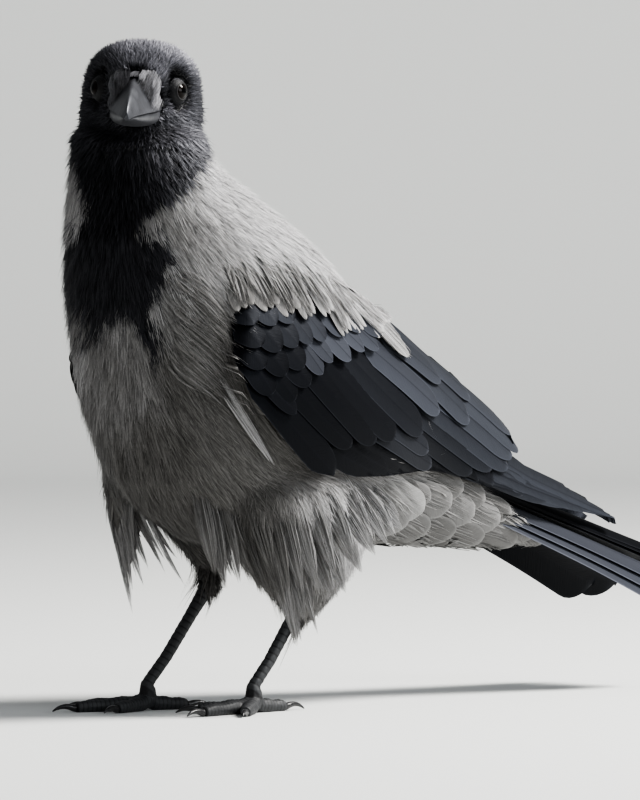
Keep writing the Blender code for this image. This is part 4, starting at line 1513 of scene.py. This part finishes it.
def quill_finish(name, low, high, edge, rough, edge_amount=0.5):
    """A tight vane. `low` is its colour in full painted shade, and `high` its colour in full painted light."""
    finish = Finish(name, Specular_IOR_Level=0.13, Specular_Tint=(0.8, 0.86, 1.0, 1))
    fine, across, along, tone, side, bloom = barbs(finish, 1.2, 1.3)
    shade = finish.attribute("shade", "Fac")
    colour = finish.mix(shade, (*low, 1), (*high, 1))
    # Painted shade: darker towards the vane's upper side and its root.
    painted_shading = (fine - 0.5) * 0.5 + (tone - 0.5) * 0.25 + 0.62 - across * 0.36 + along * 0.12
    colour = finish.mix(painted_shading.math("MULTIPLY", 1.0, clamp=True), (0.002, 0.002, 0.003, 1), colour)
    rim = across.math("ABSOLUTE").ease(0.90, 1.0).math("MAXIMUM", along.ease(0.97, 1.0))
    # Paler edges, and a bluish painted sheen over the whole vane.
    rim = rim * (bloom * 0.8 + 0.2 + shade * 0.15) * edge_amount
    colour = finish.mix(rim + bloom * 0.35, colour, (*edge, 1))
    shaft = 1 - side.math("ABSOLUTE").ease(0.2, 0.5)
    colour = finish.mix(shaft * 0.4, colour, (0.005, 0.005, 0.007, 1))
    normal = finish.bump(fine, 0.25, 0.0003)
    return finish.paint(Base_Color=colour, Normal=normal, Roughness=fine * 0.15 + rough)


QUILL = quill_finish("quill", (0.0015, 0.0015, 0.002), (0.036, 0.039, 0.047), (0.105, 0.112, 0.135), 0.36, 0.5)
COVERT = quill_finish("covert", (0.0015, 0.0015, 0.002), (0.034, 0.037, 0.045), (0.115, 0.122, 0.146), 0.40, 0.38)

# %% Quills: primaries, secondaries and tertials
wing = Vanes(on_wing)
tips = [(198, 99), (222, 95), (243, 91.5), (260, 88.5), (271, 86.5), (278, 85), (282, 84)]
for i, tip in enumerate(tips):
    root = (62 + 6 * i, 128 + 3 * i)
    wing.add(root, tip, 7.5, 5.0 - 0.4 * i, deep=(-3.6, -1.6 + 0.22 * i), tilt=0.4, blunt=0.16, point=1.6, bow=-1.5)
close = {"tilt": 0.3, "blunt": 0.14, "camber": 0.25}
wing.rows(7, (10, 136, 78, 110.5, 9, 7), (62, 158, 172, 106, 9, 7), deep=(-3.2, -1.2), bow=-2, **close)
QUILLS = (
    # root, tip, upper width, lower width, lift at the tip, bow, pale edge and painted sheen
    ((24, 150), (114, 116), 8, 6, -0.9, 0, 0.35),
    ((30, 156), (110, 123.5), 7, 6, -0.5, 0, 0.45),
    ((34, 164), (150, 112), 9, 7, -0.6, -1, 0.0),
    ((40, 170), (168, 113), 9, 7, -0.3, 0, 0.0),
    ((46, 176), (184, 113), 10, 8, 0.0, 1, 0.1),
    ((52, 182), (191, 118.5), 11, 9, 0.3, 3, 0.15),
    ((62, 188), (203, 121), 11, 9, 0.6, 5, 0.1),
    ((72, 194), (204, 130), 8, 10, 0.9, 5, 0.1),
    ((64, 186), (152, 137), 10, 9, 1.2, 3, 0.25),
    ((76, 194), (164, 148), 10, 9, 1.4, 4, 0.2),
)
for root, tip, upper, lower, height, bow, bloom in QUILLS:
    wing.add(root, tip, upper, lower, deep=(-2.2, height), bow=bow, bloom=bloom, **close)
wing.pair("quills")

# %% Coverts, from the lowest row up
COVERTS = (
    # root, tip, upper width, lower width, lift at the tip, bow, pale edge and painted sheen, blunt
    # Greater coverts
    ((-26, 168), (32.3, 114.7), 9, 8, 0.4, -3, 0.0, 0.24),
    ((-10, 168), (43, 128), 8, 7, 0.3, -2, 0.0, 0.2),
    ((6, 174), (61.2, 129.5), 9, 8, 0.7, -2, 0.05, 0.2),
    ((22, 174), (77, 131), 9, 8, 0.9, -2, 0.1, 0.2),
    ((38, 176), (102, 132.8), 9, 8, 1.1, -2, 0.1, 0.2),
    ((58, 178), (120.3, 142), 8, 8, 1.6, 0, 0.55, 0.2),
    ((78, 182), (131, 156), 7, 7, 1.9, 1, 0.35, 0.25),
    ((-26, 170), (2.2, 144.5), 5.5, 4.5, 1.5, -1, 0.05, 0.3),
    # Lesser coverts, large and dark in front
    ((-26, 176), (-12, 154), 8, 8, 1.2, 0, 0.0, 0.4),
    ((-18, 174), (2, 151), 8, 8, 1.3, 0, 0.0, 0.4),
    ((-8, 178), (12, 158), 8, 8, 1.4, 0, 0.05, 0.4),
    ((-27, 184), (-17, 166), 8, 8, 1.7, 0, 0.0, 0.4),
    ((-20, 184), (-4, 163), 8, 8, 1.8, 0, 0.0, 0.4),
    ((-10, 186), (8, 166), 8, 8, 1.9, 0, 0.05, 0.4),
    # Median coverts, small, with pale edges and a painted sheen
    ((6, 182), (20.3, 162.5), 6, 6, 2.0, 0, 0.75, 0.42),
    ((14, 184), (28, 168), 5, 5, 2.1, 0, 0.7, 0.42),
    ((24, 186), (41.9, 168.5), 6.5, 6, 2.2, 0, 0.95, 0.42),
    ((36, 188), (54.1, 172.5), 5.5, 5, 2.3, 0, 0.8, 0.42),
    ((46, 190), (68, 173), 6, 6, 2.3, 0, 0.5, 0.42),
    # The smallest, high on the front
    ((-27, 194), (-18, 176), 8, 8, 2.2, 0, 0.0, 0.4),
    ((-20, 194), (-7, 174), 8, 8, 2.3, 0, 0.0, 0.4),
    ((-10, 194), (4, 176), 7, 7, 2.4, 0, 0.05, 0.4),
    ((2, 194), (14, 177), 6, 6, 2.5, 0, 0.2, 0.4),
    ((12, 196), (24, 178), 6, 6, 2.5, 0, 0.3, 0.4),
    ((24, 198), (38, 180), 6, 6, 2.5, 0, 0.3, 0.4),
    ((38, 198), (54, 182), 6, 6, 2.5, 0, 0.25, 0.4),
    ((52, 196), (74, 180), 7, 7, 2.5, 0, 0.2, 0.4),
    ((66, 196), (92, 178), 7, 7, 2.5, 0, 0.2, 0.4),
    ((-26, 202), (-20, 186), 7, 7, 2.5, 0, 0.0, 0.4),
    ((-18, 204), (-8, 186), 7, 7, 2.6, 0, 0.0, 0.4),
    ((-8, 204), (3, 187), 7, 7, 2.6, 0, 0.0, 0.4),
)
coverts = Vanes(on_wing)
for root, tip, upper, lower, height, bow, bloom, blunt in COVERTS:
    shape = {"deep": (-1.8 + 0.3 * height, height), "bow": bow, "bloom": bloom, "blunt": blunt}
    coverts.add(root, tip, upper, lower, tilt=0.28, camber=0.2, **shape)
coverts.pair("coverts")

# %% [markdown]
# ## Scapulars and flank feathers
# Ash feathers from the shoulder hang over the top of the wing in frayed lobes, with dark gaps between them, and
# the feathers of the flank cover its front edge. They are loose, so each is made of separate narrow locks.

# %% Lay the loose ash feathers over the wing
LOBES = (
    # root, tip, width, locks, lift at the tip, painted light
    ((-26, 222), (-23, 192), 14, 30, 3.0, 0.25),
    ((-18, 222), (-8, 192), 15, 32, 3.2, 0.28),
    ((-8, 224), (4, 189), 15, 34, 3.4, 0.35),
    ((4, 222), (15, 187), 12, 28, 3.4, 0.5),
    ((16, 222), (30, 188), 12, 24, 3.4, 0.6),
    ((24, 220), (42, 178), 12, 30, 3.8, 0.75),
    ((36, 216), (57, 180), 12, 24, 3.4, 0.95),
    ((44, 212), (76, 177), 12, 26, 3.4, 1.0),
    ((54, 206), (84, 182), 12, 24, 3.2, 1.0),
    ((62, 204), (96, 184), 9, 18, 3.0, 1.0),
)
scapulars = Vanes(on_side)
# The lobes are painted darker in front and paler further back, as painted shade and painted light.
for root, tip, wide, count, lift, shade in LOBES:
    body = np.array(root) + (np.array(tip) - root) * 0.95
    for share in (-0.24, 0.02, 0.26):
        turn = np.array((share * wide, share * wide * 0.4))
        ends = np.array(root) + turn * 0.4, body + turn
        shape = {"blunt": 0.35, "tilt": 0.1, "shade": shade - 0.12 + rng.uniform(-0.08, 0.08)}
        scapulars.add(*ends, wide * 0.26, wide * 0.26, deep=(-4.5, lift - 0.5 + share), **shape)
    scapulars.locks(count * 2, root, body, wide, deep=(-3.5, lift - 0.3), width=0.35, fray=0.1, shade=shade - 0.06)
# The longest scapular lies over the tertials.
# It is painted pale, as painted light.
shape = {"blunt": 0.22, "tilt": 0.2, "bow": 2, "shade": 0.9}
scapulars.add((42, 208), (98, 168.5), 6.5, 6, deep=(-0.8, 3.2), **shape)
shape = {"width": 0.4, "fray": 0.05, "round_tip": 0.2, "bow": 2, "shade": 0.95}
scapulars.locks(44, (42, 208), (99, 168), 13, deep=(-0.5, 3.4), **shape)
scapulars.make("scapulars_right", mirrored=True)
# The left side, which the view meets first, also has loose feathers at the shoulder.
FRINGE, FRINGE_STEP, FRINGE_TOP = 7, 7.0, 204
# The fringe's locks are painted dark, as painted shade.
for i in range(FRINGE):
    z = FRINGE_TOP - FRINGE_STEP * i
    ends = ((-52 + 0.5 * i, z + 8), (-32 + 0.8 * i + rng.uniform(-3, 3), z - 16 + rng.uniform(-3, 3)))
    scapulars.locks(34, *ends, 11, deep=(-1.0, 1.6), width=0.35, fray=0.4, shade=0.12)
scapulars.make("scapulars_left")
print("scapulars", scapulars.count, "vanes")

# %% Lay the feathers under the tail
UNDERTAIL = (
    # root, tip, half width, lift at the tip, painted light; the rearmost first
    ((168, 88), (230, 71.5), 6, 1.2, 0.3),
    ((164, 96), (216, 78.5), 7, 1.8, 0.4),
    ((146, 84), (204, 74), 8, 2.0, 0.2),
    ((144, 103), (190, 89.5), 6, 2.2, 0.1),
    ((136, 100), (181, 86), 8, 2.6, 0.35),
    ((126, 86), (176, 77), 8, 2.6, 0.2),
    ((130, 110), (166, 97), 6.5, 2.8, 0.15),
    ((116, 104), (159, 90.5), 8, 3.2, 0.4),
    ((108, 90), (152, 81), 8, 3.2, 0.2),
    ((112, 114), (146, 103), 6.5, 3.4, 0.2),
    ((100, 106), (138, 96.5), 8, 3.8, 0.3),
    ((92, 92), (130, 84), 8, 3.8, 0.25),
    ((114, 80), (160, 74), 6, 2.6, 0.1),
    ((94, 82), (135, 77), 6, 3.0, 0.1),
    # The fluffy lobes behind the thigh
    ((88, 109), (120, 100), 6, 3.4, 0.3),
    ((76, 106), (107, 89), 9, 5.0, 0.4),
    ((82, 108), (115, 95.5), 8, 4.8, 0.6),
)
TRUNK = tree_of(["trunk"])


def on_trunk(y, z):
    """As on_wing, for the trunk alone."""
    return sideways(TRUNK, y, z, 20)


undertail = Vanes(on_trunk)
for root, tip, wide, lift, shade in UNDERTAIL:
    shape = {"blunt": 0.3, "tilt": -0.2, "camber": 0.5, "bow": -1.0, "bloom": 0.5}
    undertail.add(root, tip, wide, wide, deep=(-1.5, lift), rows=16, shade=shade, **shape)
    undertail.locks(14, root, tip, wide * 1.7, deep=(-1.0, lift + 0.4), width=0.3, fray=0.1, shade=shade + 0.1)
undertail.pair("undertail")

# %% Hand over the feathers of the wings and under the tail
for side in SIDES:
    dressed = {
        "undertail": ("ash_feather", TAIL_COVERT),
        "quills": ("wing_feather", QUILL, [f"wing_{side}", f"primaries_{side}"]),
        "coverts": ("wing_feather", COVERT),
        "scapulars": ("ash_feather", ASH),
    }
    for name, finish in dressed.items():
        hand_over(bpy.data.objects[f"{name}_{side}"], *finish)

# %% [markdown]
# ## The tail
# Twelve tail feathers lie closed like a pack of cards, the middle pair on top and the others lower. The three
# middle pairs stand up as a dark ridge; below it, the outer ones on the left side are painted paler, as painted
# light with a painted sheen, and show their edges as close lines, while on the right side they are dark.

# %% Lay the tail feathers
TAIL = (
    # how far back, ridge, half width, hang of the edge
    (132, 119, 12, 5),
    (160, 111, 19, 10),
    (200, 98, 25, 16),
    (245, 83, 30, 21),
    (285, 69.5, 33, 25),
    (300, 64.5, 33, 25),
    (312, 60.5, 33, 25),
    (320, 58, 33, 25),
)
TAIL_ROWS = between(TAIL, 6)
TAIL_ROOT = 130


def on_tail(y, x):
    """The tail's upper face at this length along it and this far to the side."""
    ridge, half, hang = (np.interp(y, TAIL_ROWS[:, 0], TAIL_ROWS[:, i]) for i in (1, 2, 3))
    z = ridge - hang * (x / half) ** 2
    slope = -2 * hang * x / half**2
    return Vector((x, y, z)), Vector((-slope, 0.3, 1)).normalized()


PACK = (
    # the tip's place to the side and how far back, inner and outer width, lift at root and tip, arch, painted sheen
    (24.5, 297, 8, 9.5, -3.6, -3.4, 0.3, 1.0),
    (21.5, 311, 8, 9.2, -2.4, -2.0, 0.3, 1.0),
    (16.5, 315, 9, 9.2, -1.2, -0.4, 0.5, 0.9),
    (2.5, 316, 7, 8, 1.0, 2.5, 1.0, 0.0),
    (1.5, 317, 7, 7.5, 2.0, 5.5, 2.5, 0.0),
    (0.5, 317, 6.5, 6.5, 3.0, 8.5, 4.0, 0.0),
)
tail = Vanes(on_tail)
for i, (x, y, inner, outer, at_root, at_tip, arch, bloom) in enumerate(PACK):
    for side in (1, -1):
        upper, lower = (outer, inner) if side > 0 else (inner, outer)
        shape = {"tilt": -0.6 * side * (bloom > 0), "blunt": 0.09, "camber": arch, "rows": 26}
        # Only the near side's outer feathers get painted light and a painted sheen; all others are dark.
        shade, painted_sheen_near = (0.75, bloom) if side * bloom > 0 else (0.0, 0.0)
        ends = (TAIL_ROOT + 2 * (5 - i), side * (1.2 + 0.42 * x)), (y, side * x)
        tail.add(*ends, upper, lower, deep=(at_root, at_tip - 0.2 * (side < 0)), shade=shade, bloom=painted_sheen_near, **shape)
rectrices = tail.make("rectrices")
hand_over(rectrices, "wing_feather", QUILL, ["tail"])

# %% [markdown]
# ## The bill
# A crow's bill is stout, with an arched ridge and a tip that bends over the lower half. It is lofted again with
# many more facets than its solid, a little wider and deeper at its base, and finished as satin horn.

# %% Loft both halves of the bill
BILL = (
    # how far forward, half width, ridge, mouth, bottom
    (22, 13.0, 11.0, -4.2, -12.6),
    (34, 12.2, 10.8, -4.4, -12.4),
    (44, 10.5, 9.7, -4.6, -11.8),
    (54, 7.9, 7.5, -4.8, -10.6),
    (64, 5.2, 4.0, -5.2, -8.8),
    (71, 3.0, 0.2, -5.8, -7.2),
    (75, 1.3, -3.6, -6.8, -7.1),
)
ARCH = 40
MOUTH_GAP = 0.15
LOWER_SHORTER = 4
LOWER_NARROWER, FLOOR_NARROWER = 0.95, 0.94


def loft(name, rings):
    rings = np.array(rings)
    rows, columns = rings.shape[:2]
    faces = tube_faces(rows, columns) + [range(columns), range((rows - 1) * columns, rows * columns)]
    thing = from_arrays(name, from_head(rings.reshape(-1, 3)), faces)
    edit(thing.data, face_outward)
    return thing


RIDGE_POWER = 1.5
upper_rings, lower_rings = [], []
angles = np.linspace(0, pi, ARCH)
for along, half, ridge, mouth, bottom in between(BILL, 8):
    lip = mouth + MOUTH_GAP
    shares = np.cos(angles)
    ring = [(half * c, along, lip + (ridge - mouth) * (1 - (c * c + 0.002) ** (RIDGE_POWER / 2))) for c in shares]
    floor_x = np.linspace(-half * FLOOR_NARROWER, half * FLOOR_NARROWER, 12)
    ring += [(a, along, lip + 0.5 * (1 - (a / half) ** 2)) for a in floor_x]
    upper_rings.append(ring)
    lip = mouth - MOUTH_GAP
    back = along - LOWER_SHORTER * (along - BILL[0][0]) / (BILL[-1][0] - BILL[0][0])
    ring = [(LOWER_NARROWER * half * np.cos(a), back, lip - (mouth - bottom) * np.sin(a) ** 0.5) for a in angles]
    ring += [(a * LOWER_NARROWER, back, lip + 0.3 * (1 - (a / half) ** 2)) for a in floor_x]
    lower_rings.append(ring)
bill_top = loft("upper_bill", upper_rings)
bill_low = loft("lower_bill", lower_rings[:-4])
print("bill", len(upper_rings), "rings")

# %% The bill's horn
horn = Finish("bill horn", Coat_Weight=0.15, Coat_Roughness=0.25, Specular_Tint=(0.85, 0.9, 1.0, 1))
at = horn.get("ShaderNodeTexCoord", output="Object")
values = {"Vector": at, "Location": Vector(to_row(np.array(HEAD_CENTRE))), "Rotation": HEAD_AXES.to_euler()}
along_bill = horn.get("ShaderNodeMapping", {"vector_type": "TEXTURE"}, values)
left, forward, up = horn.split(along_bill)
growth = horn.noise(horn.join(left * 300, forward * 900, up * 300), 1.0, 3.0)
blotch = horn.noise(along_bill, 160.0, 3.0)
colour = horn.mix(blotch * growth * 1.8, (0.018, 0.018, 0.019, 1), (0.085, 0.086, 0.094, 1))
rough = blotch * 0.22 + 0.30
BILL_HORN = horn.paint(Base_Color=colour, Roughness=rough, Normal=horn.bump(growth, 0.25, 0.0003))

# %% Bristles over the nostrils
BILL_ROWS = between(BILL, 8)


def bill_side(along, z):
    """Half the bill's width at this height."""
    half, ridge, mouth = (np.interp(along, BILL_ROWS[:, 0], BILL_ROWS[:, i]) for i in (1, 2, 3))
    return half * np.clip(1 - (z - mouth) / (ridge - mouth), 0, 1) ** (1 / RIDGE_POWER)


# Bristles spring from the forehead on both sides and bulge over the nostrils. Fewer lie over the ridge's base.
BRISTLE_COUNT = 1000
ON_RIDGE = BRISTLE_COUNT // 3


def way_of_head(left, forward, up):
    """A direction of the head's as one of the bird's."""
    return from_head([(left, forward, up)])[0] - from_head([(0, 0, 0)])[0]


# Each bristle gets a random amount of painted light.
curves, outs, painted_lights_and_tones = [], [], []
for side in (1, -1):
    for _ in range(BRISTLE_COUNT):
        z = rng.uniform(-2.5, 12.5)
        forward = rng.uniform(34, 49) - 0.9 * max(z - 9, 0)
        near = max(bill_side(forward, z), 1.3) + 0.3
        far = max(11.4 - 0.09 * (z - 6) ** 2, near + 1.0)
        x = near + (far - near) * rng.random()
        root = (side * (0.3 + 0.88 * x), 20, min(z + 3.5, 13.5) - 0.1 * x)
        tip = (side * (x + rng.normal(0, 0.5)), forward, z - rng.uniform(0, 2.5))
        middle = (side * (x + 2.0), 33 + rng.uniform(-2, 2), z + 3.6)
        curves.append(from_head([root, middle, tip]))
        outs.append(way_of_head(side * 0.6, 0.5, 0.7))
        painted_lights_and_tones.append(rng.uniform(0.3, 1.0))
for _ in range(ON_RIDGE):
    x = rng.uniform(-4.6, 4.6)
    long = rng.uniform(33, 41) - 0.4 * abs(x)
    high = 13.2 - 0.10 * x * x
    curves.append(from_head([(0.8 * x, 12, high + 1.6), (x, 26, high + 1.2), (1.5 * x, long, high - 1.9)]))
    outs.append(way_of_head(0, 0.3, 1))
    painted_lights_and_tones.append(rng.uniform(0.2, 0.8))
bristles = strands("nasal_bristles", curves, rng.uniform(0.2, 0.4, len(curves)), outs, painted_lights_and_tones)
hand_over(bristles, "hood_feather", BRISTLES)
hand_over(bill_top, "bill_horn", BILL_HORN, ["bill_upper"])
hand_over(bill_low, "bill_horn", BILL_HORN, ["bill_lower"])

# %% [markdown]
# ## Eyes
# The eyeball is a full ball with a slightly raised cornea. A crow's iris is so dark that it hardly parts from
# the pupil; the wet surface and its one bright reflection make the eye look alive.

# %% Eyeballs
EYE_RINGS, EYE_SIDES = 40, 48
IRIS_ANGLE, PUPIL_ANGLE = 38, 17
CORNEA = 0.3

iris = Finish("eye", Roughness=0.08, Specular_IOR_Level=0.16)
polar = iris.attribute("polar", "Fac")
spoke = iris.attribute("spoke", "Fac")
streak = iris.noise(iris.join(spoke * 9, polar * 0.04, 0.0), 1.0, 3.0)
brown = iris.mix(streak, (0.002, 0.0014, 0.001, 1), (0.010, 0.005, 0.003, 1))
brown = iris.mix(1 - polar.ease(PUPIL_ANGLE - 1.5, PUPIL_ANGLE + 1.5), brown, (0.001, 0.001, 0.001, 1))
brown = iris.mix(polar.ease(IRIS_ANGLE - 2, IRIS_ANGLE + 3), brown, (0.002, 0.002, 0.002, 1))
EYE = iris.paint(Base_Color=brown)


def close_poles(shape):
    bmesh.ops.remove_doubles(shape, verts=shape.verts, dist=1e-7)
    face_outward(shape)


for side in SIDES:
    rows, polar_values, spokes = [], [], []
    for i in range(EYE_RINGS + 1):
        angle = pi * i / EYE_RINGS
        radius = EYE_RADIUS + CORNEA * float(1 - ease(angle, 0.1, 0.75))
        for k in range(EYE_SIDES):
            spin = 2 * pi * k / EYE_SIDES
            rows.append(on_ball(side, angle, spin, radius))
            polar_values.append(angle * 180 / pi)
            spokes.append(sin(spin * 3) + 1.7 * cos(spin * 5))
    ball = from_arrays("eyeball_" + side, rows, tube_faces(EYE_RINGS + 1, EYE_SIDES))
    store(ball.data, "polar", polar_values)
    store(ball.data, "spoke", spokes)
    edit(ball.data, close_poles)
    hand_over(ball, "eye", EYE, ["eye_" + side])

# %% [markdown]
# ## Claws
# Each claw keeps its solid's shape. A merged copy is subdivided, so that the facets go, and gets dark horn with a
# fine grain that is paler where it is rougher.

# %% Claws
claw = Finish("claw horn", Coat_Weight=0.3, Coat_Roughness=0.15)
at = claw.get("ShaderNodeTexCoord", output="Object")
line = claw.noise(at, 1100.0, 3.0)
colour = claw.mix(line, (0.008, 0.008, 0.009, 1), (0.035, 0.034, 0.036, 1))
CLAW = claw.paint(Base_Color=colour, Roughness=line * 0.2 + 0.22, Normal=claw.bump(line, 0.2, 0.0002))
for side in SIDES:
    names = [f"claw_{toe}_{side}" for toe in TOES]
    claws = copy_of("claws_" + side, names)
    finer = claws.modifiers.new("smooth", "SUBSURF")
    finer.levels = finer.render_levels = 2
    claws = plain("claws_" + side, claws)
    claws.data.shade_smooth()
    hand_over(claws, "claw_horn", CLAW, names)
